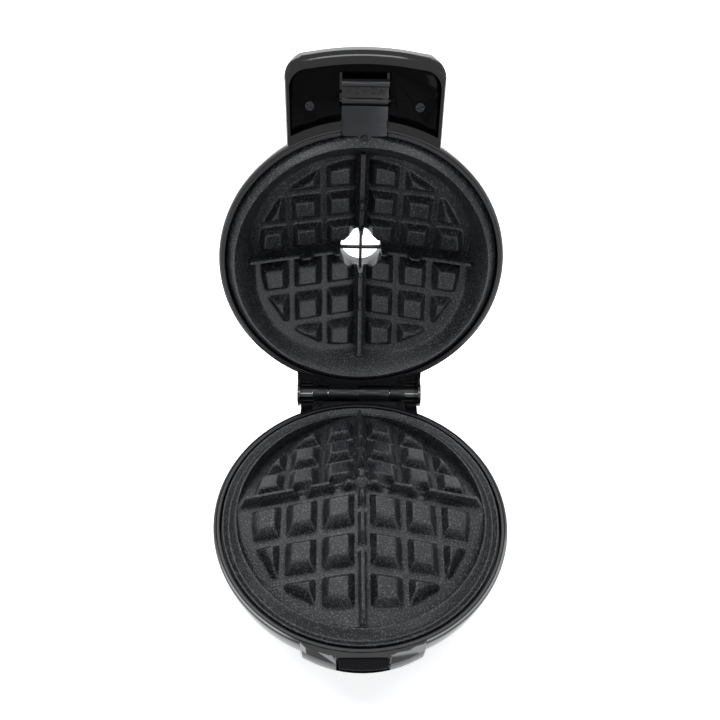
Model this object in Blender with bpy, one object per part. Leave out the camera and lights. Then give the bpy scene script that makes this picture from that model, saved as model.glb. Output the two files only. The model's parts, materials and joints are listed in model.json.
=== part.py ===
"""Round Belgian waffle maker, opened flat as for filling, built piece by piece.

Everything is modelled with the lid closed and then the lid is swung open on its hinge.
Plan places are measured from the centre of the waffle, heights from the top of the lower
plate's rim. The last step stands the whole thing on its feet, centred in plan.
"""
import math

import bmesh
import bpy
from mathutils import Matrix, Vector

# Driving dimensions
WAFFLE_RADIUS = 0.0890
COOKING_GAP = 0.0220
SLOPE_SHARE = 0.318
EDGE_RISE = 0.0005
LID_HEADROOM = 0.0152
RIM_DEPTH = 0.0150
REFLECTOR_DEPTH = 0.0120
BASE_HEADROOM = 0.0280
HANDLE_LENGTH = 0.0480
HANDLE_HALF_WIDTH = 0.0525
LID_OPEN_DEG = 101.0

# Heights from the lower plate's rim, worked out from the plates
APEX_HEIGHT = SLOPE_SHARE * WAFFLE_RADIUS + EDGE_RISE
UPPER_APEX = APEX_HEIGHT + COOKING_GAP
LID_TOP_HEIGHT = UPPER_APEX + LID_HEADROOM
BASE_DEPTH = RIM_DEPTH + REFLECTOR_DEPTH + BASE_HEADROOM

# Rings around the waffle, each from the one inside it
FLANGE_WIDTH = 0.0108
UPPER_RING_OVERHANG = 0.0007
BEZEL_PLAY = 0.0007
BEZEL_WIDTH = 0.0025
RIM_WALL = 0.0023
FLANGE_RADIUS = WAFFLE_RADIUS + FLANGE_WIDTH
UPPER_RING_RADIUS = FLANGE_RADIUS + UPPER_RING_OVERHANG
BEZEL_INNER_RADIUS = UPPER_RING_RADIUS + BEZEL_PLAY
BEZEL_TOP_RADIUS = BEZEL_INNER_RADIUS + BEZEL_WIDTH
BODY_RADIUS = BEZEL_TOP_RADIUS + RIM_WALL

# Fits
CLEARANCE = 0.0003
SWING_CLEARANCE = 0.0006
BEARING_CLEARANCE = 0.00005
SEAT_CLEARANCE = 0.0001
OVERRUN = 0.0020
SINK = 0.0012
HOUSING_WALL = 0.0022

# Round pieces' smoothness, counts only, and the angle from which an edge stays sharp
SHARP_DEG = 35.0
BODY_SIDES = 52
RING_SIDES = 36
SMALL_SIDES = 20
SCREW_SIDES = 10

# Cooking plates
PLATE_WALL = 0.0035
RIM_LAND = 0.0012
RIM_FOOT = 0.0030
RIM_SHOULDER = 0.0030
RIM_SHOULDER_RADIUS = WAFFLE_RADIUS + RIM_SHOULDER
CHANNEL_OFFSET = 0.0064
CHANNEL_RADIUS = WAFFLE_RADIUS + CHANNEL_OFFSET
CHANNEL_DEPTH = 0.0062
FLANGE_DROP = 0.0030
FLANGE_WALL = 0.0030
POST_ROWS = 3
POST_PITCH = 0.0255
POST_FIRST = 0.0159
POST_FOOT_HALF = 0.0105
POST_TOP_HALF = 0.0063
POST_CHAMFER = 0.0020
POST_HEIGHT = 0.0086
POST_MARGIN = 0.0105
POST_FIELD_RADIUS = WAFFLE_RADIUS - POST_MARGIN
RIB_HEIGHT = 0.0105
RIB_CREST_HALF = 0.0012
RIB_FOOT_HALF = 0.0025
RIB_END_DRAFT = 0.0041
RIB_GAP = 0.0044
RIB_INNER_END = 0.0140
RIB_MIDDLE_END = 0.0393
RIB_START = 0.0020
TAB_HEIGHT = 0.0052
TAB_CLEARANCE = 0.0009
DOME_RADIUS = 0.0048
DOME_RISE = 0.0042

# Upper plate
UPPER_RIM_OFFSET = 0.0045
UPPER_RIM_RADIUS = WAFFLE_RADIUS + UPPER_RIM_OFFSET
UPPER_RIM_DROP = 0.0020
UPPER_WALL_DRAFT_DEG = 25.0
UPPER_RING_HEIGHT = 0.0045
FILL_HOLE_RADIUS = 0.0160
CROSS_WIDTH = 0.0023
CROSS_DEPTH = 0.0030

# Base housing
BEZEL_DROP = 0.0030
BEZEL_LEDGE_LAP = 0.0033
BEZEL_LEDGE_RADIUS = FLANGE_RADIUS - BEZEL_LEDGE_LAP
BEZEL_LEDGE_WALL = 0.0020
BASE_RIM_DROP = 0.0032
BASE_SIDE_TAPER = 0.0022
BASE_SIDE_RADIUS = BODY_RADIUS - BASE_SIDE_TAPER
BASE_SIDE_LIFT = 0.0350
BASE_SIDE_DROP = BASE_DEPTH - BASE_SIDE_LIFT
BASE_WAIST_TAPER = 0.0070
BASE_WAIST_RADIUS = BODY_RADIUS - BASE_WAIST_TAPER
BASE_WAIST_LIFT = 0.0250
BASE_WAIST_DROP = BASE_DEPTH - BASE_WAIST_LIFT
BASE_LOW_TAPER = 0.0180
BASE_LOW_RADIUS = BODY_RADIUS - BASE_LOW_TAPER
BASE_LOW_LIFT = 0.0100
BASE_LOW_DROP = BASE_DEPTH - BASE_LOW_LIFT
BASE_FOOT_TAPER = 0.0310
BASE_FOOT_RADIUS = BODY_RADIUS - BASE_FOOT_TAPER
BASE_LIP_WIDTH = 0.0130
BASE_LIP_RADIUS = BASE_FOOT_RADIUS - BASE_LIP_WIDTH
COVER_INSET = 0.0030
COVER_RADIUS = BASE_FOOT_RADIUS - COVER_INSET
COVER_WALL = 0.0020
COVER_SCREW_INSET = 0.0040
COVER_SCREW_RADIUS = COVER_RADIUS - COVER_SCREW_INSET
FOOT_RADIUS = 0.0090
FOOT_HEIGHT = 0.0042
FRONT_FOOT_INSET = 0.0300
FRONT_FOOT_X = COVER_RADIUS - FRONT_FOOT_INSET
FRONT_FOOT_Y = -FRONT_FOOT_X

# Front panel and latch catch
PANEL_BULGE = 0.0070
PANEL_REACH = BODY_RADIUS + PANEL_BULGE
PANEL_BULGE_RADIUS = 0.0770
PANEL_HALF_WIDTH = 0.0400
PANEL_LIFT = 0.0280
PANEL_HEIGHT = BASE_DEPTH - PANEL_LIFT
PANEL_SLANT = 0.0070
PANEL_CORNER = 0.0050
PANEL_TONGUE = 0.0070
NOTCH_INNER_HALF = 0.0176
NOTCH_OUTER_HALF = 0.0155
NOTCH_SETBACK = 0.0008
NOTCH_START = BODY_RADIUS + NOTCH_SETBACK
NOTCH_DEPTH = 0.0120
CATCH_LEDGE_OVERHANG = 0.0015
CATCH_LEDGE_REACH = PANEL_REACH + CATCH_LEDGE_OVERHANG
CATCH_LEDGE_TOP = 0.0036
CATCH_LEDGE_WALL = 0.0015
CATCH_BACK_WALL = 0.0025

# Lid housing
LID_BEZEL_FACE = 0.0015
LID_RIM_HEIGHT = 0.0025
LID_SIDE_TAPER = 0.0020
LID_SIDE_RADIUS = BODY_RADIUS - LID_SIDE_TAPER
LID_SIDE_FALL = 0.0460
LID_SIDE_HEIGHT = LID_TOP_HEIGHT - LID_SIDE_FALL
LID_SHOULDER_TAPER = 0.0080
LID_SHOULDER_RADIUS = BODY_RADIUS - LID_SHOULDER_TAPER
LID_SHOULDER_FALL = 0.0310
LID_SHOULDER_HEIGHT = LID_TOP_HEIGHT - LID_SHOULDER_FALL
LID_CROWN_TAPER = 0.0200
LID_CROWN_RADIUS = BODY_RADIUS - LID_CROWN_TAPER
LID_CROWN_FALL = 0.0160
LID_CROWN_HEIGHT = LID_TOP_HEIGHT - LID_CROWN_FALL
LID_BROW_TAPER = 0.0360
LID_BROW_RADIUS = BODY_RADIUS - LID_BROW_TAPER
LID_BROW_FALL = 0.0060
LID_BROW_HEIGHT = LID_TOP_HEIGHT - LID_BROW_FALL
FUNNEL_RADIUS = 0.0310
FUNNEL_WALL = 0.0018
LID_FLAT_MARGIN = 0.0140
LID_FLAT_RADIUS = FUNNEL_RADIUS + LID_FLAT_MARGIN

# Hinge
HINGE_STANDOFF = 0.0065
HINGE_Y = BODY_RADIUS + HINGE_STANDOFF
HINGE_Z = 0.0010
BARREL_RADIUS = 0.00525
PIN_RADIUS = 0.0020
KNUCKLE_SPLIT = 0.0380
KNUCKLE_INNER = 0.0260
KNUCKLE_MIDDLE = 0.0250
KNUCKLE_GAP = 0.0005
BRACKET_HALF_WIDTH = 0.0380
BRACKET_WALL = 0.0020
UPPER_BRACKET_FACE = 0.0030
LOWER_BRACKET_FACE = 0.0030
HINGE_SCREW_X = 0.0333
UPPER_SCREW_SETBACK = 0.0010
UPPER_SCREW_Y = UPPER_RING_RADIUS + UPPER_SCREW_SETBACK
LOWER_SCREW_SETBACK = 0.0011
LOWER_SCREW_Y = BEZEL_TOP_RADIUS - LOWER_SCREW_SETBACK
KNUCKLE_STEM = 0.0044
HOOD_HALF_WIDTH = 0.0505
HOOD_WALL = 0.0020
HOOD_RADIUS = 0.0110
HOOD_FRONT_DEG = 140.0
HOOD_REAR_DEG = -12.0
CHEEK_START_DEG = 172.0
CHEEK_END_DEG = 450.0
CRADLE_HALF_WIDTH = 0.0480
CRADLE_REAR = 0.0060
CRADLE_LAP = 0.0030
CRADLE_INSIDE_Y = BASE_LOW_RADIUS - CRADLE_LAP
CRADLE_FOOT_LAP = 0.0150
CRADLE_FOOT_Y = BASE_FOOT_RADIUS - CRADLE_FOOT_LAP
CRADLE_START_DEG = -121.0
REAR_FOOT_INSET = 0.0110
REAR_FOOT_X = CRADLE_HALF_WIDTH - REAR_FOOT_INSET
REAR_FOOT_SETBACK = 0.0085
REAR_FOOT_Y = HINGE_Y - REAR_FOOT_SETBACK

# Handle and latch
HANDLE_REACH = BODY_RADIUS + HANDLE_LENGTH
HANDLE_TOP = 0.0200
HANDLE_FACE = 0.0020
HANDLE_LAP = 0.0180
HANDLE_ROOT = BODY_RADIUS - HANDLE_LAP
HANDLE_ARC_RADIUS = 0.2000
HANDLE_CORNER = 0.0140
HANDLE_BEVEL = 0.0060
HANDLE_SKIRT = 0.0050
HANDLE_SKIRT_RADIUS = BODY_RADIUS + HANDLE_SKIRT
HANDLE_DECK = 0.0030
HANDLE_FLOOR = 0.0070
HANDLE_FLOOR_WALL = 0.0020
HANDLE_BOSS_RADIUS = 0.0042
HANDLE_EDGE_WALL = 0.0030
HANDLE_LIP_WALL = 0.0080
HANDLE_SCREW_X = 0.0365
HANDLE_SCREW_SETBACK = 0.0075
HANDLE_SCREW_Y = HANDLE_SKIRT_RADIUS + HANDLE_SCREW_SETBACK
LATCH_HALF_WIDTH = 0.0153
LATCH_PIVOT_SETBACK = 0.0165
LATCH_PIVOT_Y = BODY_RADIUS + LATCH_PIVOT_SETBACK
LATCH_PIVOT_Z = 0.0050
LATCH_REACH = 0.0140
LATCH_WALL = 0.0024
LATCH_HOOK = 0.0095
LATCH_LIP = 0.0036
LATCH_EYE_RADIUS = 0.0024
LATCH_PIN_RADIUS = 0.0010
LATCH_POCKET_HALF = 0.0168
LATCH_POCKET_LENGTH = 0.0172
LATCH_POCKET_END = LATCH_PIVOT_Y + LATCH_POCKET_LENGTH
LATCH_BRACKET_WALL = 0.0015
LATCH_BRACKET_STEP = 0.0015
LATCH_BRACKET_BEND = BODY_RADIUS + LATCH_BRACKET_STEP
LATCH_BRACKET_LAP = 0.0057
LATCH_BRACKET_FOOT = UPPER_RING_RADIUS - LATCH_BRACKET_LAP
LATCH_SCREW_INSET = 0.0021
LATCH_SCREW_Y = UPPER_RING_RADIUS - LATCH_SCREW_INSET

# Screws
SCREW_HEAD_RADIUS = 0.0037
SCREW_HEAD_HEIGHT = 0.0016
SCREW_SHANK_RADIUS = 0.0014
SCREW_LENGTH = 0.0070
LATCH_SCREW_LENGTH = 0.0052
SCREW_SLOT = 0.0009
SCREW_SLOT_DEPTH = 0.0007
SMALL_HEAD_RADIUS = 0.0024
SMALL_HEAD_HEIGHT = 0.0012

# Inside
ELEMENT_RADIUS = 0.00325
ELEMENT_INSET = 0.0270
ELEMENT_CIRCLE = WAFFLE_RADIUS - ELEMENT_INSET
ELEMENT_OPEN_DEG = 24.0
ELEMENT_STEPS = 26
ELEMENT_TAIL = 0.0100
REFLECTOR_WALL = 0.0010
REFLECTOR_FLANGE_WIDTH = 0.0035
REFLECTOR_FLANGE_RADIUS = WAFFLE_RADIUS + REFLECTOR_FLANGE_WIDTH
REFLECTOR_SIDE_INSET = 0.0050
REFLECTOR_SIDE_RADIUS = WAFFLE_RADIUS - REFLECTOR_SIDE_INSET
REFLECTOR_SCREW_INSET = 0.0039
REFLECTOR_SCREW_RADIUS = REFLECTOR_FLANGE_RADIUS - REFLECTOR_SCREW_INSET
THERMOSTAT_RADIUS = 0.0085
THERMOSTAT_HEIGHT = 0.0080
THERMOSTAT_X = 0.0300
FUSE_RADIUS = 0.0022
FUSE_LENGTH = 0.0140
FUSE_X = 0.0200
FUSE_Y = 0.0300
BLOCK_WIDTH = 0.0300
BLOCK_DEPTH = 0.0120
BLOCK_HEIGHT = 0.0120
BLOCK_INSET = 0.0410
BLOCK_Y = WAFFLE_RADIUS - BLOCK_INSET
LEAD_RADIUS = 0.0013
LEAD_SPREAD = 0.0080
GLAND_RADIUS = 0.0060
GLAND_FLANGE_RADIUS = 0.0085
GLAND_FLANGE_WALL = 0.0025
GLAND_BORE_RADIUS = 0.0032
GLAND_DROP = 0.0260
GLAND_DEPTH = 0.0110
LAMP_RADIUS = 0.0030
LAMP_SPREAD = 0.0090
LAMP_Y = 0.0390
LAMP_SINK = 0.0004
LAMP_BOARD_HALF = 0.0180
LAMP_BOARD_DEPTH = 0.0100
LAMP_BOARD_WALL = 0.0016

# Worked out from the above
FLANGE_UNDERSIDE = -CHANNEL_DEPTH - FLANGE_WALL
LEDGE_TOP = FLANGE_UNDERSIDE - CLEARANCE
WALL_DROP = PLATE_WALL * math.sqrt(1 + 2 * SLOPE_SHARE ** 2)
ORIGIN = (0, 0, 0)


# Shape tools

def finish_mesh(bm, name):
    """Merge doubles, point the faces outwards and return a mesh."""
    bmesh.ops.remove_doubles(bm, verts=bm.verts, dist=CLEARANCE / 100)
    bmesh.ops.recalc_face_normals(bm, faces=bm.faces)
    mesh = bpy.data.meshes.new(name)
    bm.to_mesh(mesh)
    bm.free()
    return mesh


def turned(profile, sides=BODY_SIDES, centre=ORIGIN, axis="Z"):
    """Turn a closed outline of (radius, height) points round an upright or crosswise axis."""
    bm = bmesh.new()
    verts = [bm.verts.new((radius, 0, height)) for radius, height in profile]
    edges = [bm.edges.new((verts[i], verts[i - 1])) for i in range(len(verts))
             if profile[i][0] or profile[i - 1][0]]
    bmesh.ops.spin(bm, geom=verts + edges, cent=ORIGIN, axis=(0, 0, 1),
                   angle=math.tau, steps=sides, use_merge=True)
    if axis == "X":
        bmesh.ops.rotate(bm, verts=bm.verts, cent=ORIGIN,
                         matrix=Matrix.Rotation(math.pi / 2, 3, "Y"))
    if axis == "Y":
        bmesh.ops.rotate(bm, verts=bm.verts, cent=ORIGIN,
                         matrix=Matrix.Rotation(-math.pi / 2, 3, "X"))
    bmesh.ops.translate(bm, verts=bm.verts, vec=centre)
    return finish_mesh(bm, "turned")


def rod(radius, low, high, sides=SMALL_SIDES, centre=ORIGIN, axis="Z"):
    """A plain round bar between two places along its axis."""
    return turned([(0, high), (radius, high), (radius, low), (0, low)], sides, centre, axis)


def prism(outline, low, high, axis="Z"):
    """Extrude a closed outline: (x, y) along Z, or (y, z) along X."""
    bm = bmesh.new()
    if axis == "Z":
        rings = [[bm.verts.new((a, b, level)) for a, b in outline] for level in (low, high)]
    else:
        rings = [[bm.verts.new((level, a, b)) for a, b in outline] for level in (low, high)]
    for i in range(len(outline)):
        bm.faces.new((rings[0][i - 1], rings[0][i], rings[1][i], rings[1][i - 1]))
    bm.faces.new(rings[0])
    bm.faces.new(rings[1])
    return finish_mesh(bm, "prism")


def block(x_low, x_high, y_low, y_high, z_low, z_high):
    """A rectangular block between its limits."""
    return prism([(x_low, y_low), (x_high, y_low), (x_high, y_high), (x_low, y_high)],
                 z_low, z_high)


def hull(points):
    """The closed convex body round a set of points."""
    bm = bmesh.new()
    for point in points:
        bm.verts.new(point)
    result = bmesh.ops.convex_hull(bm, input=bm.verts)
    inside = {item for item in result["geom_interior"] if isinstance(item, bmesh.types.BMVert)}
    bmesh.ops.delete(bm, geom=list(inside), context="VERTS")
    return finish_mesh(bm, "hull")


def tube(path, radius, sides=8):
    """A round bar that follows a list of points and is closed at both ends."""
    bm = bmesh.new()
    points = [Vector(point) for point in path]
    rings = []
    across = None
    for i, point in enumerate(points):
        ahead = (points[min(i + 1, len(points) - 1)] - points[max(i - 1, 0)]).normalized()
        if across is None:
            across = ahead.orthogonal().normalized()
        across = (across - ahead * across.dot(ahead)).normalized()
        other = ahead.cross(across)
        turns = [math.tau * k / sides for k in range(sides)]
        rings.append([bm.verts.new(point + radius * (across * math.cos(t) + other * math.sin(t)))
                      for t in turns])
    for near, far in zip(rings, rings[1:]):
        for k in range(sides):
            bm.faces.new((near[k - 1], near[k], far[k], far[k - 1]))
    bm.faces.new(rings[0])
    bm.faces.new(rings[-1])
    return finish_mesh(bm, "tube")


def gathered(meshes):
    """Put bodies that don't touch each other into one mesh."""
    bm = bmesh.new()
    for mesh in meshes:
        bm.from_mesh(mesh)
    mesh = bpy.data.meshes.new("gathered")
    bm.to_mesh(mesh)
    bm.free()
    return mesh


def combined(mesh, tool, operation):
    """Join, cut or trim one closed mesh with another."""
    body = bpy.data.objects.new("body", mesh)
    cutter = bpy.data.objects.new("cutter", tool)
    for item in (body, cutter):
        bpy.context.scene.collection.objects.link(item)
    modifier = body.modifiers.new("combine", "BOOLEAN")
    modifier.object = cutter
    modifier.operation = operation
    modifier.solver = "EXACT"
    bpy.context.view_layer.update()
    seen = body.evaluated_get(bpy.context.evaluated_depsgraph_get())
    result = bpy.data.meshes.new_from_object(seen)
    for item in (body, cutter):
        bpy.data.objects.remove(item)
    bm = bmesh.new()
    bm.from_mesh(result)
    bmesh.ops.dissolve_degenerate(bm, dist=CLEARANCE / 100, edges=bm.edges)
    bm.to_mesh(result)
    bm.free()
    return result


def joined(mesh, *tools):
    for tool in tools:
        mesh = combined(mesh, tool, "UNION")
    return mesh


def cut(mesh, *tools):
    for tool in tools:
        mesh = combined(mesh, tool, "DIFFERENCE")
    return mesh


def arc(centre_x, centre_y, radius, start_deg, end_deg, steps):
    """Points along a circular arc, both ends included."""
    turns = [math.radians(start_deg + (end_deg - start_deg) * k / steps) for k in range(steps + 1)]
    return [(centre_x + radius * math.cos(t), centre_y + radius * math.sin(t)) for t in turns]


# Scene, materials and pieces

def clear_scene():
    for item in list(bpy.data.objects):
        bpy.data.objects.remove(item)


def surface(name, colour, roughness, metallic):
    material = bpy.data.materials.new(name)
    material.use_nodes = True
    shader = material.node_tree.nodes["Principled BSDF"]
    shader.inputs["Base Color"].default_value = (*colour, 1)
    shader.inputs["Roughness"].default_value = roughness
    shader.inputs["Metallic"].default_value = metallic
    return material


FINISHES = {
    "gloss_black": ((0.006, 0.006, 0.007), 0.12, 0.0),
    "satin_black": ((0.010, 0.010, 0.011), 0.40, 0.0),
    "nonstick": ((0.018, 0.0185, 0.021), 0.45, 0.0),
    "dark_steel": ((0.035, 0.036, 0.039), 0.36, 0.9),
    "bright_steel": ((0.60, 0.60, 0.61), 0.28, 1.0),
    "aluminised": ((0.52, 0.53, 0.54), 0.40, 1.0),
    "rubber": ((0.020, 0.020, 0.020), 0.80, 0.0),
    "ceramic": ((0.75, 0.73, 0.68), 0.60, 0.0),
    "sleeve": ((0.55, 0.52, 0.46), 0.75, 0.0),
    "board": ((0.55, 0.52, 0.46), 0.55, 0.0),
    "red_lens": ((0.55, 0.03, 0.02), 0.20, 0.0),
    "green_lens": ((0.03, 0.40, 0.06), 0.20, 0.0),
}


def carrier(name, place, parent=None):
    """An empty on a joint's axis, which carries the pieces that move together."""
    empty = bpy.data.objects.new(name, None)
    bpy.context.scene.collection.objects.link(empty)
    empty["place"] = place
    empty.parent = parent
    start = Vector(parent["place"]) if parent else Vector(ORIGIN)
    empty.location = Vector(place) - start
    return empty


def piece(name, mesh, finish, body):
    """Make one named object of a closed mesh, with its own material, on its carrier."""
    mesh.transform(Matrix.Translation(-Vector(body["place"])))
    mesh.name = name
    mesh.shade_smooth()
    mesh.set_sharp_from_angle(angle=math.radians(SHARP_DEG))
    mesh.materials.clear()
    mesh.materials.append(surface(name + "_finish", *FINISHES[finish]))
    item = bpy.data.objects.new(name, mesh)
    bpy.context.scene.collection.objects.link(item)
    item.parent = body
    return item


# Cooking plates

def surface_height(x, y, apex):
    """Height of a plate's four-sided cooking surface."""
    return apex - SLOPE_SHARE * (abs(x) + abs(y))


def pyramid(apex, floor):
    """A four-sided pyramid, wider than the plate, with its ridges over the centre lines."""
    reach = 2 * BODY_RADIUS
    corners = [(reach, 0), (0, reach), (-reach, 0), (0, -reach)]
    foot = min(surface_height(reach, 0, apex), floor) - OVERRUN
    points = [(0, 0, apex)]
    points += [(x, y, surface_height(x, y, apex)) for x, y in corners]
    points += [(x, y, foot) for x, y in corners]
    return hull(points)


def trimmed_outline(outline, centre_x, centre_y, limit):
    """Cut an outline off past a limit along the line from the waffle's centre."""
    length = math.hypot(centre_x, centre_y)
    ways = [(x * centre_x + y * centre_y) / length - limit for x, y in outline]
    kept = []
    for i, (x, y) in enumerate(outline):
        if ways[i - 1] * ways[i] < 0:
            share = ways[i - 1] / (ways[i - 1] - ways[i])
            last_x, last_y = outline[i - 1]
            kept.append((last_x + share * (x - last_x), last_y + share * (y - last_y)))
        if ways[i] <= 0:
            kept.append((x, y))
    return kept


def post_outline(x, y, half, chamfer, limit):
    inner = half - chamfer
    outline = [(x + half, y - inner), (x + half, y + inner), (x + inner, y + half),
               (x - inner, y + half), (x - half, y + inner), (x - half, y - inner),
               (x - inner, y - half), (x + inner, y - half)]
    return trimmed_outline(outline, x, y, limit)


def post(x, y, apex, way):
    """One tapered post whose top lies parallel to the cooking surface; way is 1 up, -1 down."""
    foot = post_outline(x, y, POST_FOOT_HALF, POST_CHAMFER, POST_FIELD_RADIUS)
    inset = POST_FOOT_HALF - POST_TOP_HALF
    top = post_outline(x, y, POST_TOP_HALF, 0, POST_FIELD_RADIUS - inset)
    points = [(a, b, surface_height(a, b, apex) - way * SINK) for a, b in foot]
    points += [(a, b, surface_height(a, b, apex) + way * POST_HEIGHT) for a, b in top]
    return hull(points)


def all_posts(apex, way):
    """Six whole and two trimmed posts in each quarter."""
    meshes = []
    for column in range(POST_ROWS):
        for row in range(POST_ROWS):
            if column + row > POST_ROWS:
                continue
            for side_x in (-1, 1):
                for side_y in (-1, 1):
                    x = side_x * (POST_FIRST + POST_PITCH * column)
                    y = side_y * (POST_FIRST + POST_PITCH * row)
                    meshes.append(post(x, y, apex, way))
    return gathered(meshes)


def rib(start, end, start_draft, end_draft, apex, way, quarter):
    """One drafted rib on a centre line; quarter counts turns of a right angle from +X."""
    low = RIB_FOOT_HALF
    foot_sink = SLOPE_SHARE * low + SINK if way > 0 else -SINK
    points = []
    for u, side in ((start, -1), (start, 1), (end, -1), (end, 1)):
        points.append((u, side * low, apex - SLOPE_SHARE * u - foot_sink))
    for u, side in ((start + start_draft, -1), (start + start_draft, 1),
                    (end - end_draft, -1), (end - end_draft, 1)):
        points.append((u, side * RIB_CREST_HALF, apex - SLOPE_SHARE * u + way * RIB_HEIGHT))
    turn = Matrix.Rotation(math.pi / 2 * quarter, 3, "Z")
    return hull([turn @ Vector(point) for point in points])


def tab(centre, quarter):
    """The part of an upper rib that reaches into a gap between the lower ribs."""
    draft_share = RIB_END_DRAFT / RIB_HEIGHT
    root = RIB_GAP / 2 + RIB_END_DRAFT - TAB_CLEARANCE
    tip = root - TAB_HEIGHT * draft_share
    points = []
    for half, depth, side_half in (
            (root + SINK * draft_share, RIB_HEIGHT - SINK, RIB_CREST_HALF - CLEARANCE / 2),
            (tip, RIB_HEIGHT + TAB_HEIGHT, RIB_CREST_HALF * 3 / 4)):
        for u in (centre - half, centre + half):
            height = UPPER_APEX - SLOPE_SHARE * u - depth
            points += [(u, -side_half, height), (u, side_half, height)]
    turn = Matrix.Rotation(math.pi / 2 * quarter, 3, "Z")
    return hull([turn @ Vector(point) for point in points])


def screw_bore(x, y, low, high):
    return rod(SCREW_SHANK_RADIUS + CLEARANCE, low, high, SCREW_SIDES, (x, y, 0))


def around(radius, count, start_deg):
    """Places spread evenly on a circle."""
    turns = [math.radians(start_deg + 360 * k / count) for k in range(count)]
    return [(radius * math.cos(t), radius * math.sin(t)) for t in turns]


def plate_boss():
    """The flat boss under the lower plate that the thermostat lies against."""
    top = surface_height(THERMOSTAT_X, -THERMOSTAT_X, APEX_HEIGHT)
    return rod(THERMOSTAT_RADIUS, thermostat_seat(), top - PLATE_WALL / 2, SMALL_SIDES,
               (THERMOSTAT_X, -THERMOSTAT_X, 0))


def thermostat_seat():
    """Height of that boss's flat face, just below the lowest edge of the wall above it."""
    low_edge = 2 * THERMOSTAT_X + math.sqrt(2) * THERMOSTAT_RADIUS
    return APEX_HEIGHT - WALL_DROP - SLOPE_SHARE * low_edge - SINK


def lower_plate_mesh():
    bottom = -RIM_DEPTH
    core = combined(pyramid(APEX_HEIGHT, bottom),
                    rod(WAFFLE_RADIUS - RIM_LAND, bottom, UPPER_APEX, BODY_SIDES), "INTERSECT")
    rim = turned([(WAFFLE_RADIUS, 0), (WAFFLE_RADIUS + RIM_LAND, 0),
                  (RIM_SHOULDER_RADIUS, -FLANGE_DROP), (CHANNEL_RADIUS, -CHANNEL_DEPTH),
                  (FLANGE_RADIUS - RIM_LAND, -FLANGE_DROP), (FLANGE_RADIUS, -FLANGE_DROP),
                  (FLANGE_RADIUS, FLANGE_UNDERSIDE), (RIM_SHOULDER_RADIUS, FLANGE_UNDERSIDE),
                  (RIM_SHOULDER_RADIUS, bottom), (WAFFLE_RADIUS - RIM_FOOT, bottom)])
    body = joined(core, rim)
    hollow = combined(pyramid(APEX_HEIGHT - WALL_DROP, bottom - OVERRUN),
                      rod(WAFFLE_RADIUS - RIM_FOOT + SINK / 2, bottom - OVERRUN, UPPER_APEX,
                          BODY_SIDES), "INTERSECT")
    body = cut(body, hollow)
    body = joined(body, all_posts(APEX_HEIGHT, 1), plate_boss())
    ribs = []
    for quarter in range(4):
        ribs.append(rib(RIB_INNER_END + RIB_GAP, RIB_MIDDLE_END, RIB_END_DRAFT, RIB_END_DRAFT,
                        APEX_HEIGHT, 1, quarter))
        ribs.append(rib(RIB_MIDDLE_END + RIB_GAP, WAFFLE_RADIUS, RIB_END_DRAFT,
                        RIB_END_DRAFT * 3 / 2, APEX_HEIGHT, 1, quarter))
        ribs.append(rib(RIB_FOOT_HALF + RIB_START / 4, RIB_INNER_END, RIB_START / 4,
                        RIB_END_DRAFT, APEX_HEIGHT, 1, quarter))
    body = joined(body, gathered(ribs))
    ball = arc(0, APEX_HEIGHT + DOME_RISE, DOME_RADIUS, 90, 0, 4)
    stem = [(DOME_RADIUS, APEX_HEIGHT - PLATE_WALL / 2), (0, APEX_HEIGHT - PLATE_WALL / 2)]
    body = joined(body, turned([(0, APEX_HEIGHT + DOME_RISE + DOME_RADIUS)] + ball[1:] + stem,
                               SMALL_SIDES))
    bores = [screw_bore(x, y, bottom - OVERRUN, bottom + SCREW_LENGTH)
             for x, y in around(REFLECTOR_SCREW_RADIUS, 3, -90)]
    return cut(body, gathered(bores))


def upper_wall(extra, low, high):
    """The cone inside or outside the upper plate's side wall."""
    share = math.tan(math.radians(UPPER_WALL_DRAFT_DEG))
    start = UPPER_RIM_RADIUS + extra + UPPER_RIM_DROP * -share
    return turned([(0, high), (start - share * high, high), (start - share * low, low), (0, low)])


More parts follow.
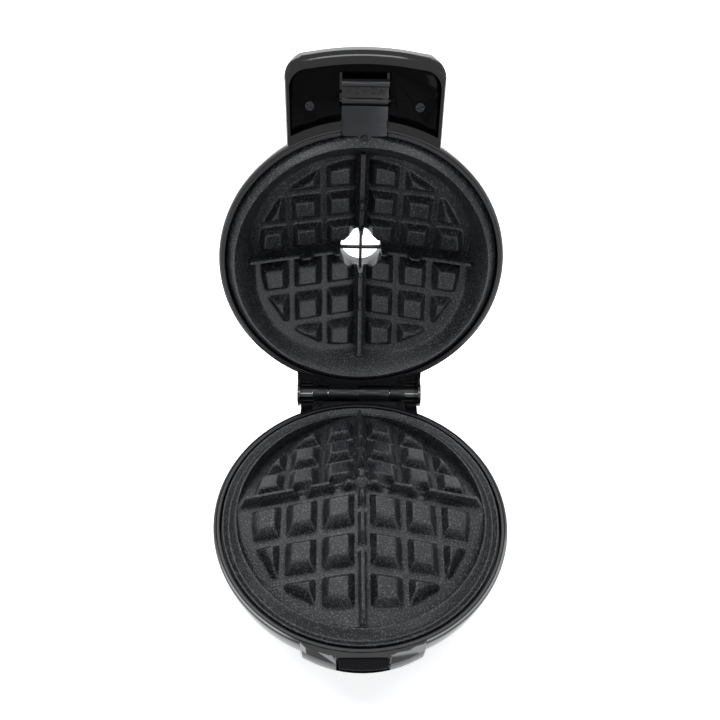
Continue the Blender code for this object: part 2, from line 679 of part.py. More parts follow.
def upper_plate_mesh():
    wall_out = PLATE_WALL / math.cos(math.radians(UPPER_WALL_DRAFT_DEG))
    flange_top = UPPER_RING_HEIGHT + PLATE_WALL
    high = UPPER_APEX + PLATE_WALL * 2
    core = combined(pyramid(UPPER_APEX + WALL_DROP, 0),
                    upper_wall(wall_out, UPPER_RIM_DROP, high), "INTERSECT")
    ring = turned([(UPPER_RIM_RADIUS + RIM_LAND / 2, -UPPER_RIM_DROP),
                   (UPPER_RING_RADIUS, UPPER_RING_HEIGHT), (UPPER_RING_RADIUS, flange_top),
                   (UPPER_RIM_RADIUS - PLATE_WALL * 2, flange_top),
                   (UPPER_RIM_RADIUS - PLATE_WALL * 2, -UPPER_RIM_DROP)])
    body = joined(core, ring)
    hollow = combined(pyramid(UPPER_APEX, -PLATE_WALL),
                      upper_wall(0, -UPPER_RIM_DROP - OVERRUN, high), "INTERSECT")
    body = cut(body, hollow)
    collar = rod(FILL_HOLE_RADIUS + CROSS_WIDTH, UPPER_APEX - SLOPE_SHARE * FILL_HOLE_RADIUS,
                 funnel_foot() - CLEARANCE, RING_SIDES)
    body = joined(body, collar, all_posts(UPPER_APEX, -1))
    ribs = [rib(FILL_HOLE_RADIUS - CROSS_WIDTH, WAFFLE_RADIUS - RIB_END_DRAFT, 0,
                -CROSS_WIDTH, UPPER_APEX, -1, quarter) for quarter in range(4)]
    body = joined(body, gathered(ribs))
    tabs = [tab(centre + RIB_GAP / 2, quarter) for quarter in range(4)
            for centre in (RIB_INNER_END, RIB_MIDDLE_END)]
    body = joined(body, gathered(tabs))
    body = cut(body, rod(FILL_HOLE_RADIUS, 0, high + CROSS_WIDTH, RING_SIDES))
    top = UPPER_APEX - SLOPE_SHARE * FILL_HOLE_RADIUS
    reach = FILL_HOLE_RADIUS + CROSS_WIDTH / 2
    half = CROSS_WIDTH / 2
    body = joined(body, block(-reach, reach, -half, half, top - CROSS_DEPTH, top),
                  block(-half, half, -reach, reach, top - CROSS_DEPTH, top))
    return cut(body, screw_bore(0, -LATCH_SCREW_Y, -OVERRUN, flange_top + OVERRUN),
               block(-LATCH_HALF_WIDTH - CLEARANCE, LATCH_HALF_WIDTH + CLEARANCE,
                     -UPPER_RING_RADIUS - OVERRUN, -LATCH_BRACKET_FOOT + CLEARANCE,
                     -UPPER_RIM_DROP - OVERRUN, UPPER_RING_HEIGHT))


def funnel_foot():
    """Height where the funnel stands on the upper plate's collar."""
    return UPPER_APEX + WALL_DROP + CROSS_DEPTH


# Base housing

def base_outline():
    """Outer side of the base shell, from its rim down to its foot."""
    return [(BODY_RADIUS - BEZEL_DROP / 4, -BASE_RIM_DROP),
            (BODY_RADIUS, -BASE_RIM_DROP - BEZEL_DROP / 3),
            (BODY_RADIUS - BEZEL_DROP / 6, -BASE_SIDE_DROP / 2),
            (BASE_SIDE_RADIUS, -BASE_SIDE_DROP), (BASE_WAIST_RADIUS, -BASE_WAIST_DROP),
            (BASE_LOW_RADIUS, -BASE_LOW_DROP), (BASE_FOOT_RADIUS, -BASE_DEPTH)]


def filled(outline, offset):
    """A turned solid that fills an outline, moved out by an offset and carried on upright."""
    points = [(radius + offset, height) for radius, height in outline]
    top = (points[0][0], BODY_RADIUS)
    foot = (points[-1][0], -BODY_RADIUS)
    if outline[0][1] > outline[-1][1]:
        points = [top] + points + [foot]
    else:
        points = [(points[-1][0], BODY_RADIUS)] + points[::-1] + [(points[0][0], -BODY_RADIUS)]
    return turned([(0, BODY_RADIUS)] + points + [(0, -BODY_RADIUS)])


def bezel_seat():
    return LEDGE_TOP - BEZEL_LEDGE_WALL - CLEARANCE


def hinge_arc(radius, start_deg, end_deg, steps):
    return arc(HINGE_Y, HINGE_Z, radius, start_deg, end_deg, steps)


def cradle_outline(wall):
    """Side view of the column under the hinge, or of the hollow one wall inside it."""
    swing = HOOD_RADIUS + SWING_CLEARANCE + wall
    deck = deck_height() - wall
    end = math.degrees(math.acos((CRADLE_REAR - wall) / swing))
    trough = hinge_arc(swing, CRADLE_START_DEG, -end, 6)
    low = cradle_floor() + wall
    return ([(CRADLE_INSIDE_Y, deck), (trough[0][0], deck)] + trough
            + [(trough[-1][0], low), (CRADLE_FOOT_Y, low), (CRADLE_FOOT_Y, -BASE_LOW_DROP)])


def cradle_floor():
    return SINK - BASE_DEPTH


def deck_height():
    return -LOWER_BRACKET_FACE - BRACKET_WALL - CLEARANCE


def base_shell_mesh():
    outer = base_outline()
    wall = HOUSING_WALL
    rim_inner = BEZEL_TOP_RADIUS + CLEARANCE
    seat = bezel_seat()
    inner = [(BASE_LIP_RADIUS, -BASE_DEPTH), (BASE_LIP_RADIUS, -BASE_DEPTH + wall),
             (BASE_FOOT_RADIUS - wall / 2, -BASE_DEPTH + wall),
             (BASE_LOW_RADIUS - wall, -BASE_LOW_DROP + wall / 2),
             (BASE_WAIST_RADIUS - wall, -BASE_WAIST_DROP + wall / 2),
             (BASE_SIDE_RADIUS - wall, -BASE_SIDE_DROP), (rim_inner - wall / 2, seat),
             (rim_inner, seat), (rim_inner, -BASE_RIM_DROP)]
    body = turned(outer + inner)
    cradle = prism(cradle_outline(0), -CRADLE_HALF_WIDTH, CRADLE_HALF_WIDTH, "X")
    cradle = cut(cradle, filled(outer[1:], -wall / 2))
    body = joined(body, cradle)
    inside = CRADLE_HALF_WIDTH - wall
    body = cut(body, prism(cradle_outline(wall), -inside, inside, "X"))
    bracket = BRACKET_HALF_WIDTH + CLEARANCE
    rear = HINGE_Y + HOOD_RADIUS
    body = cut(body, block(-bracket, bracket, BASE_LOW_RADIUS, rear, deck_height(), 0))
    panel = PANEL_HALF_WIDTH + CLEARANCE
    body = cut(body, block(-panel, panel, -BODY_RADIUS - OVERRUN, -BASE_LOW_RADIUS,
                           -BASE_RIM_DROP - PANEL_TONGUE, 0))
    bores = [screw_bore(x, LOWER_SCREW_Y, deck_height() - SCREW_LENGTH, 0)
             for x in (-HINGE_SCREW_X, HINGE_SCREW_X)]
    bores += [screw_bore(x, y, -BASE_DEPTH - OVERRUN, -BASE_DEPTH + SCREW_LENGTH)
              for x, y in around(COVER_SCREW_RADIUS, 4, 0)]
    body = cut(body, gathered(bores))
    gland = rod(GLAND_RADIUS + CLEARANCE, HINGE_Y, HINGE_Y + CRADLE_REAR * 2, SMALL_SIDES,
                (0, 0, -GLAND_DROP), "Y")
    return cut(body, gland)


def base_bezel_mesh():
    wall = BEZEL_LEDGE_WALL
    return turned([(BEZEL_TOP_RADIUS, -BEZEL_DROP), (BEZEL_TOP_RADIUS, LEDGE_TOP - wall),
                   (BEZEL_LEDGE_RADIUS, LEDGE_TOP - wall), (BEZEL_LEDGE_RADIUS, LEDGE_TOP),
                   (BEZEL_INNER_RADIUS, LEDGE_TOP), (BEZEL_INNER_RADIUS, -BEZEL_DROP)])


def bracket_outline(edge_radius, rear):
    """Plan of a hinge bracket's plate, whose front edge follows the plate's ring."""
    half = BRACKET_HALF_WIDTH
    start = math.degrees(math.acos(half / edge_radius))
    return [(half, rear), (-half, rear)] + arc(0, 0, edge_radius, 180 - start, start, 8)


def knuckle_strips(spans, rear):
    """Tongues from a bracket's plate to its barrels, narrow on the short outer ones."""
    strips = []
    for low, high in spans:
        if high - low < KNUCKLE_MIDDLE / 2:
            middle = (low + high) / 2
            low, high = middle - KNUCKLE_STEM / 2, middle + KNUCKLE_STEM / 2
        strips.append((low, high, rear - SINK, HINGE_Y - PIN_RADIUS * 3 / 2))
    return strips


def bracket_mesh(spans, edge_radius, low, high, screw_y):
    """A hinge bracket: plate, tongues and barrels, bored for the pin and two screws."""
    rear = HINGE_Y - BARREL_RADIUS - SWING_CLEARANCE
    body = prism(bracket_outline(edge_radius, rear), low, high)
    tongues = [block(x_low, x_high, y_low, y_high, low, high)
               for x_low, x_high, y_low, y_high in knuckle_strips(spans, rear)]
    body = joined(body, gathered(tongues))
    barrels = [rod(BARREL_RADIUS, x_low - CLEARANCE / 3, x_high + CLEARANCE / 3, SMALL_SIDES,
                   (0, HINGE_Y, HINGE_Z), "X") for x_low, x_high in spans]
    body = joined(body, gathered(barrels))
    reach = BRACKET_HALF_WIDTH + OVERRUN
    bore = rod(PIN_RADIUS + BEARING_CLEARANCE, -reach, reach, SMALL_SIDES,
               (0, HINGE_Y, HINGE_Z), "X")
    screws = [screw_bore(x, screw_y, low - OVERRUN, high + OVERRUN)
              for x in (-HINGE_SCREW_X, HINGE_SCREW_X)]
    return cut(body, bore, gathered(screws))


def hinge_pin_mesh():
    length = KNUCKLE_SPLIT + KNUCKLE_GAP
    return rod(PIN_RADIUS, -length, length, SMALL_SIDES, (0, HINGE_Y, HINGE_Z), "X")


def screw_mesh(x, y, seat, way=1, head=SCREW_HEAD_RADIUS, height=SCREW_HEAD_HEIGHT,
               length=SCREW_LENGTH, slotted=False):
    """A screw whose head lies on a face; way is 1 when the head points up."""
    body = turned([(0, height), (head * 3 / 4, height), (head, 0), (SCREW_SHANK_RADIUS, 0),
                   (SCREW_SHANK_RADIUS, -length), (0, -length)], SCREW_SIDES)
    if slotted:
        half = SCREW_SLOT / 2
        body = cut(body, block(-head, head, -half, half, height - SCREW_SLOT_DEPTH,
                               height + OVERRUN))
    if way < 0:
        body.transform(Matrix.Rotation(math.pi, 4, "X"))
    body.transform(Matrix.Translation((x, y, seat + way * SEAT_CLEARANCE)))
    return body


def bottom_cover_mesh():
    body = rod(COVER_RADIUS, -BASE_DEPTH - CLEARANCE - COVER_WALL, -BASE_DEPTH - CLEARANCE,
               RING_SIDES)
    bores = [screw_bore(x, y, -BASE_DEPTH - SCREW_LENGTH, 0)
             for x, y in around(COVER_SCREW_RADIUS, 4, 0)]
    return cut(body, gathered(bores))


def cover_underside():
    return -BASE_DEPTH - CLEARANCE - COVER_WALL


def foot_mesh(x, y, top):
    """A rubber foot under the cover or under the hinge column, all down to one level."""
    low = cover_underside() - CLEARANCE - FOOT_HEIGHT
    edge = FOOT_HEIGHT / 4
    return turned([(0, top), (FOOT_RADIUS, top), (FOOT_RADIUS, low + edge),
                   (FOOT_RADIUS - edge, low), (0, low)], SMALL_SIDES, (x, y, 0))


def front_panel_mesh():
    """The bulging front of the base, hollowed for the shell behind it and notched on top."""
    centre = -PANEL_REACH + PANEL_BULGE_RADIUS
    flat = PANEL_HALF_WIDTH - PANEL_CORNER
    spread = math.degrees(math.asin(flat / PANEL_BULGE_RADIUS))
    bulge = arc(0, centre, PANEL_BULGE_RADIUS, -90 - spread, -90 + spread, 12)
    end = bulge[-1][1]
    side = PANEL_HALF_WIDTH
    corner = PANEL_CORNER
    root = -BASE_LOW_RADIUS
    plan = [(-side, root), (-side, end + corner), (-side + corner / 3, end + corner / 3)]
    plan += bulge + [(side - corner / 3, end + corner / 3), (side, end + corner), (side, root)]
    top = -BASE_RIM_DROP
    points = [(x, y, top) for x, y in plan]
    points += [(x, y, top - PANEL_HEIGHT / 3) for x, y in plan]
    points += [(x, y + PANEL_SLANT, top - PANEL_HEIGHT) for x, y in plan]
    body = hull(points)
    step = top - PANEL_TONGUE + CLEARANCE
    behind = [(radius + CLEARANCE, height) for radius, height in base_outline() if height < step]
    core = turned([(0, BODY_RADIUS), (BEZEL_TOP_RADIUS + CLEARANCE, BODY_RADIUS),
                   (BEZEL_TOP_RADIUS + CLEARANCE, step), (behind[0][0], step)] + behind
                  + [(0, -BASE_DEPTH)])
    body = cut(body, core)
    notch = prism([(-NOTCH_INNER_HALF, -NOTCH_START), (-notch_half(HANDLE_REACH), -HANDLE_REACH),
                   (notch_half(HANDLE_REACH), -HANDLE_REACH), (NOTCH_INNER_HALF, -NOTCH_START)],
                  top - NOTCH_DEPTH, BODY_RADIUS)
    return cut(body, notch)


def notch_half(reach):
    """Half the notch's width at a distance in front of the waffle's centre."""
    share = (reach - NOTCH_START) / (PANEL_REACH - NOTCH_START)
    return NOTCH_INNER_HALF - share * (NOTCH_INNER_HALF - NOTCH_OUTER_HALF) / 2


def latch_catch_mesh():
    """The black insert in the notch: a ledge for the hook, a back wall and a floor."""
    back = NOTCH_START + CLEARANCE
    lip = NOTCH_OUTER_HALF - CLEARANCE
    inner = NOTCH_INNER_HALF - CLEARANCE * 2
    sag = PANEL_BULGE_RADIUS - math.sqrt(PANEL_BULGE_RADIUS ** 2 - lip ** 2)
    front = [(lip * share, -CATCH_LEDGE_REACH + sag * share ** 2)
             for share in (-1, -0.5, 0, 0.5, 1)]
    ledge = prism([(inner, -back), (-inner, -back)] + front,
                  -CATCH_LEDGE_TOP - CATCH_LEDGE_WALL, -CATCH_LEDGE_TOP)
    low = -BASE_RIM_DROP - NOTCH_DEPTH + CLEARANCE
    wall = block(-lip, lip, -back - CATCH_BACK_WALL, -back, low, -CATCH_LEDGE_TOP - CLEARANCE)
    floor = block(-lip + CLEARANCE, lip - CLEARANCE, -PANEL_REACH + CATCH_LEDGE_WALL * 2,
                  -back - CLEARANCE, low, low + CATCH_LEDGE_WALL)
    return joined(ledge, wall, floor)


# Lid housing

def lid_outline():
    """Outer side of the lid shell, from its rim up to its flat top."""
    return [(BODY_RADIUS - BEZEL_DROP / 6, LID_RIM_HEIGHT),
            (BODY_RADIUS, LID_RIM_HEIGHT + BEZEL_DROP / 2),
            (BODY_RADIUS, LID_SIDE_HEIGHT / 2), (LID_SIDE_RADIUS, LID_SIDE_HEIGHT),
            (LID_SHOULDER_RADIUS, LID_SHOULDER_HEIGHT), (LID_CROWN_RADIUS, LID_CROWN_HEIGHT),
            (LID_BROW_RADIUS, LID_BROW_HEIGHT), (LID_FLAT_RADIUS, LID_TOP_HEIGHT)]


def lid_bezel_top():
    """The bezel's ledge clamps the reflector's flange on the upper plate."""
    return upper_flange_top() + CLEARANCE * 2 + REFLECTOR_WALL + BEZEL_LEDGE_WALL


def upper_flange_top():
    return UPPER_RING_HEIGHT + PLATE_WALL


def upper_bracket_top():
    return UPPER_BRACKET_FACE + BRACKET_WALL + CLEARANCE


def hood_outline():
    """Side view of the curved wall over the hinge, with the block that joins it to the lid."""
    inner = HOOD_RADIUS - HOOD_WALL
    low = upper_bracket_top()
    inside = BASE_LOW_RADIUS
    front = hinge_arc(inner, HOOD_FRONT_DEG, HOOD_REAR_DEG, 10)
    shoulder = (HINGE_Y - HOOD_RADIUS, LID_SIDE_HEIGHT + SINK)
    return ([(inside, low), (front[0][0], low)] + front + hinge_arc(HOOD_RADIUS, HOOD_REAR_DEG, 90, 8)
            + [shoulder, (inside, LID_SIDE_HEIGHT + BARREL_RADIUS)])


def cheek_outline():
    """Side view of the cheeks, round about the hinge."""
    shoulder = (HINGE_Y - HOOD_RADIUS, LID_SIDE_HEIGHT + SINK)
    return ([(BASE_LOW_RADIUS, LID_RIM_HEIGHT)]
            + hinge_arc(HOOD_RADIUS, CHEEK_START_DEG, CHEEK_END_DEG, 16)
            + [shoulder, (BASE_LOW_RADIUS, LID_SIDE_HEIGHT + BARREL_RADIUS)])


def lid_shell_mesh():
    outer = lid_outline()
    wall = HOUSING_WALL
    rim_inner = BEZEL_TOP_RADIUS + CLEARANCE
    seat = lid_bezel_top() + CLEARANCE
    hole = funnel_hole_radius()
    inner = [(hole, LID_TOP_HEIGHT), (hole, LID_TOP_HEIGHT - wall),
             (LID_FLAT_RADIUS - wall / 4, LID_TOP_HEIGHT - wall),
             (LID_BROW_RADIUS - wall / 2, LID_BROW_HEIGHT - wall),
             (LID_CROWN_RADIUS - wall * 3 / 4, LID_CROWN_HEIGHT - wall * 3 / 4),
             (LID_SHOULDER_RADIUS - wall, LID_SHOULDER_HEIGHT - wall / 2),
             (LID_SIDE_RADIUS - wall, LID_SIDE_HEIGHT), (rim_inner - wall / 2, seat),
             (rim_inner, seat), (rim_inner, LID_RIM_HEIGHT)]
    body = turned(outer + inner)
    half = HOOD_HALF_WIDTH - HOOD_WALL
    hood = prism(hood_outline(), -half - SINK / 2, half + SINK / 2, "X")
    cheeks = gathered([prism(cheek_outline(), min(side * half, side * HOOD_HALF_WIDTH),
                             max(side * half, side * HOOD_HALF_WIDTH), "X") for side in (-1, 1)])
    hood = joined(hood, cheeks)
    hood = cut(hood, filled(outer, -wall / 2),
               rod(rim_inner, -BODY_RADIUS, seat, BODY_SIDES))
    body = joined(body, hood)
    low = seat + wall / 2
    rear = HINGE_Y - HOOD_RADIUS + HOOD_WALL
    hollow = [(BASE_LOW_RADIUS, low), (rear, low), (rear, low + wall),
              (rear - wall, LID_SIDE_HEIGHT - wall), (BASE_LOW_RADIUS, LID_SIDE_HEIGHT)]
    body = cut(body, prism(hollow, -half, half, "X"))
    bracket = BRACKET_HALF_WIDTH + CLEARANCE
    latch = LATCH_HALF_WIDTH + CLEARANCE * 2
    body = cut(body, block(-bracket, bracket, BASE_LOW_RADIUS, HINGE_Y - BARREL_RADIUS, 0,
                           upper_bracket_top()),
               block(-latch, latch, -HANDLE_REACH, -BASE_LOW_RADIUS, 0, latch_cut_top()))
    bores = [screw_bore(x, UPPER_SCREW_Y, 0, upper_bracket_top() + SCREW_LENGTH)
             for x in (-HINGE_SCREW_X, HINGE_SCREW_X)]
    lamps = [rod(LAMP_RADIUS + CLEARANCE, LID_BROW_HEIGHT, LID_TOP_HEIGHT + OVERRUN, SMALL_SIDES,
                 (x, -LAMP_Y, 0)) for x in (-LAMP_SPREAD, LAMP_SPREAD)]
    return cut(body, gathered(bores + lamps))


def latch_cut_top():
    return LATCH_PIVOT_Z + LATCH_BRACKET_WALL


def lid_bezel_mesh():
    top = lid_bezel_top()
    inner = BEZEL_INNER_RADIUS
    body = turned([(BEZEL_TOP_RADIUS, top), (BEZEL_TOP_RADIUS, LID_BEZEL_FACE),
                   (inner, LID_BEZEL_FACE), (inner, top - BEZEL_LEDGE_WALL),
                   (BEZEL_LEDGE_RADIUS, top - BEZEL_LEDGE_WALL), (BEZEL_LEDGE_RADIUS, top)])
    bracket = BRACKET_HALF_WIDTH + CLEARANCE
    latch = LATCH_HALF_WIDTH + CLEARANCE * 2
    return cut(body, block(-bracket, bracket, BASE_LOW_RADIUS, HINGE_Y, 0, upper_bracket_top()),
               block(-latch, latch, -HANDLE_REACH, -BASE_LOW_RADIUS, 0, latch_cut_top()))


def funnel_hole_radius():
    return FUNNEL_RADIUS - CLEARANCE


def funnel_mesh():
    """The batter funnel, from its rim on the lid's top to the upper plate's collar."""
    top = LID_TOP_HEIGHT + FUNNEL_WALL * 2
    seat = LID_TOP_HEIGHT + CLEARANCE
    rim = FUNNEL_RADIUS + FUNNEL_WALL * 2
    return turned([(FUNNEL_RADIUS, top), (rim - FUNNEL_WALL / 2, top), (rim, seat),
                   (FUNNEL_RADIUS - CLEARANCE * 2 - FUNNEL_WALL / 2, seat),
                   (FILL_HOLE_RADIUS + CROSS_WIDTH, funnel_foot()),
                   (FILL_HOLE_RADIUS, funnel_foot())], RING_SIDES)


# Handle and latch

def handle_plan(inset, front_inset):
    """Convex plan of the handle's tongue, moved in at its sides and at its front."""
    half = HANDLE_HALF_WIDTH - inset
    reach = HANDLE_REACH - front_inset
    corner = HANDLE_CORNER - inset / 2
    straight = half - corner
    sag = HANDLE_ARC_RADIUS - math.sqrt(HANDLE_ARC_RADIUS ** 2 - straight ** 2)
    centre = -(reach - sag) + corner
    plan = [(half, -HANDLE_ROOT)] + arc(straight, centre, corner, 0, -80, 5)
    for share in (0.5, 0, -0.5):
        x = straight * share
        plan.append((x, -(reach - HANDLE_ARC_RADIUS
                          + math.sqrt(HANDLE_ARC_RADIUS ** 2 - x ** 2))))
    return plan + arc(-straight, centre, corner, -100, -180, 5) + [(-half, -HANDLE_ROOT)]


def layers(*levels):
    """Points of convex plans at their heights, as (plan, height) pairs."""
    return [(x, y, height) for plan, height in levels for x, y in plan]


def handle_grip_mesh():
    face = HANDLE_FACE
    bevel = HANDLE_BEVEL
    body = hull(layers((handle_plan(OVERRUN / 4, OVERRUN / 4), face),
                       (handle_plan(0, 0), face + OVERRUN / 2),
                       (handle_plan(0, 0), HANDLE_TOP - bevel),
                       (handle_plan(bevel / 3, bevel / 3), HANDLE_TOP - bevel / 3),
                       (handle_plan(bevel, bevel), HANDLE_TOP)))
    edge = HANDLE_EDGE_WALL
    lip = HANDLE_LIP_WALL
    hollow = hull(layers((handle_plan(edge, lip), 0), (handle_plan(edge, lip), HANDLE_TOP - bevel),
                         (handle_plan(edge + bevel, lip + bevel), HANDLE_TOP - HANDLE_DECK)))
    hollow = cut(hollow, rod(HANDLE_SKIRT_RADIUS, -OVERRUN, HANDLE_TOP, BODY_SIDES))
    body = cut(body, filled(lid_outline(), CLEARANCE), hollow)
    bosses = [rod(HANDLE_BOSS_RADIUS, HANDLE_FLOOR + HANDLE_FLOOR_WALL + CLEARANCE,
                  HANDLE_TOP - HANDLE_DECK / 2, SCREW_SIDES, (x, -HANDLE_SCREW_Y, 0))
              for x in (-HANDLE_SCREW_X, HANDLE_SCREW_X)]
    body = joined(body, gathered(bosses))
    bores = [screw_bore(x, -HANDLE_SCREW_Y, 0, HANDLE_FLOOR + HANDLE_FLOOR_WALL + SCREW_LENGTH)
             for x in (-HANDLE_SCREW_X, HANDLE_SCREW_X)]
    latch = LATCH_HALF_WIDTH + CLEARANCE * 2
    return cut(body, gathered(bores), block(-latch, latch, -LATCH_PIVOT_Y, -HANDLE_ROOT, 0,
                                            latch_cut_top()))


def handle_underside_mesh():
    """The recessed floor under the handle, with the latch's pocket and two lugs for its pin."""
    floor = HANDLE_FLOOR
    edge = HANDLE_EDGE_WALL + CLEARANCE
    lip = HANDLE_LIP_WALL + CLEARANCE
    body = prism(handle_plan(edge, lip), floor, floor + HANDLE_FLOOR_WALL)
    body = cut(body, rod(HANDLE_SKIRT_RADIUS + CLEARANCE, 0, HANDLE_TOP, BODY_SIDES))
    pocket = LATCH_POCKET_HALF
    body = cut(body, block(-pocket, pocket, -LATCH_POCKET_END,
                           -LATCH_PIVOT_Y + LATCH_EYE_RADIUS * 2, 0, HANDLE_TOP))
    lugs = [block(min(side * pocket, side * (pocket + FUNNEL_WALL)),
                  max(side * pocket, side * (pocket + FUNNEL_WALL)),
                  -LATCH_PIVOT_Y - LATCH_EYE_RADIUS, -LATCH_PIVOT_Y + LATCH_EYE_RADIUS,
                  LATCH_PIVOT_Z - LATCH_EYE_RADIUS, floor + SINK) for side in (-1, 1)]
    body = joined(body, gathered(lugs))
    reach = pocket + FUNNEL_WALL + OVERRUN
    pin = rod(LATCH_PIN_RADIUS + BEARING_CLEARANCE, -reach, reach, SMALL_SIDES,
              (0, -LATCH_PIVOT_Y, LATCH_PIVOT_Z), "X")
    bores = [screw_bore(x, -HANDLE_SCREW_Y, 0, HANDLE_TOP)
             for x in (-HANDLE_SCREW_X, HANDLE_SCREW_X)]
    return cut(body, pin, gathered(bores))


def latch_lever_mesh():
    """The latch: an eye on its pin, a grip plate and a rounded hook."""
    far = LATCH_REACH
    near = LATCH_REACH - LATCH_LIP
    half = LATCH_WALL / 2
    tip = LATCH_HOOK
    shape = [(0, -half), (far - half, -half), (far, half), (far, tip - half)]
    shape += arc((far + near) / 2, tip - half, LATCH_LIP / 2, 30, 150, 4)
    shape += [(near, tip - half), (near, half), (0, half)]
    outline = [(-LATCH_PIVOT_Y - a, LATCH_PIVOT_Z - b) for a, b in shape]
    body = prism(outline, -LATCH_HALF_WIDTH, LATCH_HALF_WIDTH, "X")
    centre = (0, -LATCH_PIVOT_Y, LATCH_PIVOT_Z)
    eye = rod(LATCH_EYE_RADIUS, -LATCH_HALF_WIDTH + CLEARANCE / 3,
              LATCH_HALF_WIDTH - CLEARANCE / 3, SMALL_SIDES, centre, "X")
    bore = rod(LATCH_PIN_RADIUS + BEARING_CLEARANCE, -HANDLE_HALF_WIDTH, HANDLE_HALF_WIDTH,
               SMALL_SIDES, centre, "X")
    return cut(joined(body, eye), bore)


def latch_pin_mesh():
    reach = LATCH_POCKET_HALF + FUNNEL_WALL
    return rod(LATCH_PIN_RADIUS, -reach, reach, SMALL_SIDES,
               (0, -LATCH_PIVOT_Y, LATCH_PIVOT_Z), "X")


def latch_bracket_mesh():
    """The bent strip that runs from the upper plate's ring to the latch."""
    wall = LATCH_BRACKET_WALL
    low = UPPER_RING_HEIGHT - CLEARANCE - wall
    high = LATCH_PIVOT_Z - wall / 2
    bend = LATCH_BRACKET_BEND
    end = LATCH_PIVOT_Y - LATCH_EYE_RADIUS - SWING_CLEARANCE
    start = LATCH_BRACKET_FOOT
    foot = UPPER_RING_RADIUS + CLEARANCE
    outline = [(-start, low), (-foot, low), (-bend, high), (-end, high), (-end, high + wall),
               (-bend, high + wall), (-foot, low + wall), (-start, low + wall)]
    body = prism(outline, -LATCH_HALF_WIDTH, LATCH_HALF_WIDTH, "X")
    return cut(body, screw_bore(0, -LATCH_SCREW_Y, 0, high))


# Inside pieces

def lower_reflector_mesh():
    """Shallow pan that hangs under the lower plate's rim."""
    top = -RIM_DEPTH - CLEARANCE
    wall = REFLECTOR_WALL
    floor = top - REFLECTOR_DEPTH
    flange = REFLECTOR_FLANGE_RADIUS
    side = REFLECTOR_SIDE_RADIUS
    body = turned([(flange, top), (flange, top - wall), (side, top - wall),
                   (side - wall * 3, floor - wall), (0, floor - wall), (0, floor),
                   (side - wall * 4, floor), (side - wall, top)], RING_SIDES)
    holes = [rod(LEAD_RADIUS * 3, floor - wall * 2, floor + wall, SCREW_SIDES, (x, y, 0))
             for x, y in element_ends()]
    bores = [screw_bore(x, y, top - wall * 2, top + wall)
             for x, y in around(REFLECTOR_SCREW_RADIUS, 3, -90)]
    return cut(body, gathered(holes + bores))


def upper_reflector_mesh():
    """Bowl over the upper plate that keeps the heat off the lid."""
    foot = upper_flange_top() + CLEARANCE
    wall = REFLECTOR_WALL
    flange = UPPER_RING_RADIUS - wall
    outer = [(flange, foot), (flange, foot + wall), (BEZEL_LEDGE_RADIUS - wall * 2, foot + wall),
             (LID_CROWN_RADIUS + wall * 2, LID_SHOULDER_HEIGHT - wall * 4),
             (LID_BROW_RADIUS + wall, LID_CROWN_HEIGHT - wall * 2),
             (funnel_collar_radius() + wall * 4, LID_BROW_HEIGHT - wall * 4)]
    inner = [(radius - wall, height - wall / 2) for radius, height in outer[:2:-1]]
    inner[0] = (outer[-1][0], outer[-1][1] - wall)
    inner.append((BEZEL_LEDGE_RADIUS - wall * 3, foot))
    return turned(outer + inner, RING_SIDES)


def funnel_collar_radius():
    return FILL_HOLE_RADIUS + CROSS_WIDTH


def element_ends():
    """Where the elements' cold ends stand, in plan."""
    half = math.radians(ELEMENT_OPEN_DEG / 2)
    return [(side * ELEMENT_CIRCLE * math.sin(half), ELEMENT_CIRCLE * math.cos(half))
            for side in (-1, 1)]


def element_mesh(way):
    """A sheathed heating rod that follows the plate's slopes, with both ends turned away."""
    reach = (ELEMENT_RADIUS + CLEARANCE) * math.sqrt(1 + SLOPE_SHARE ** 2 * 2)
    path = []
    for x, y in arc(0, 0, ELEMENT_CIRCLE, 90 + ELEMENT_OPEN_DEG / 2, 450 - ELEMENT_OPEN_DEG / 2,
                    ELEMENT_STEPS):
        if way < 0:
            height = surface_height(x, y, APEX_HEIGHT - WALL_DROP) - reach
        else:
            height = surface_height(x, y, UPPER_APEX + WALL_DROP) + reach
        path.append((x, y, height))
    ends = [path[0], path[-1]]
    turn = ELEMENT_RADIUS
    path = [tail_point(ends[0], way, turn)] + path[1:-1] + [tail_point(ends[1], way, turn)]
    first, last = path[0], path[-1]
    path = [(first[0], first[1], first[2] + way * ELEMENT_TAIL)] + path
    path.append((last[0], last[1], last[2] + way * ELEMENT_TAIL))
    return tube(path, ELEMENT_RADIUS)


def tail_point(end, way, turn):
    return (end[0], end[1], end[2] + way * turn / 2)


def tail_end(way):
    """Height at which the element's cold ends stop."""
    x, y = element_ends()[0]
    reach = (ELEMENT_RADIUS + CLEARANCE) * math.sqrt(1 + SLOPE_SHARE ** 2 * 2)
    if way < 0:
        start = surface_height(x, y, APEX_HEIGHT - WALL_DROP) - reach
    else:
        start = surface_height(x, y, UPPER_APEX + WALL_DROP) + reach
    return start + way * (ELEMENT_TAIL + ELEMENT_RADIUS / 2)


def thermostat_mesh():
    """Disc thermostat pressed up against the seat under the lower plate."""
    top = thermostat_seat() - CLEARANCE
    low = top - THERMOSTAT_HEIGHT
    radius = THERMOSTAT_RADIUS
    return turned([(0, top), (radius - FUNNEL_WALL, top), (radius - FUNNEL_WALL, top - FUNNEL_WALL),
                   (radius, top - FUNNEL_WALL), (radius, low), (0, low)],
                  SMALL_SIDES, (THERMOSTAT_X, -THERMOSTAT_X, 0))


def reflector_floor():
    return -RIM_DEPTH - CLEARANCE - REFLECTOR_DEPTH


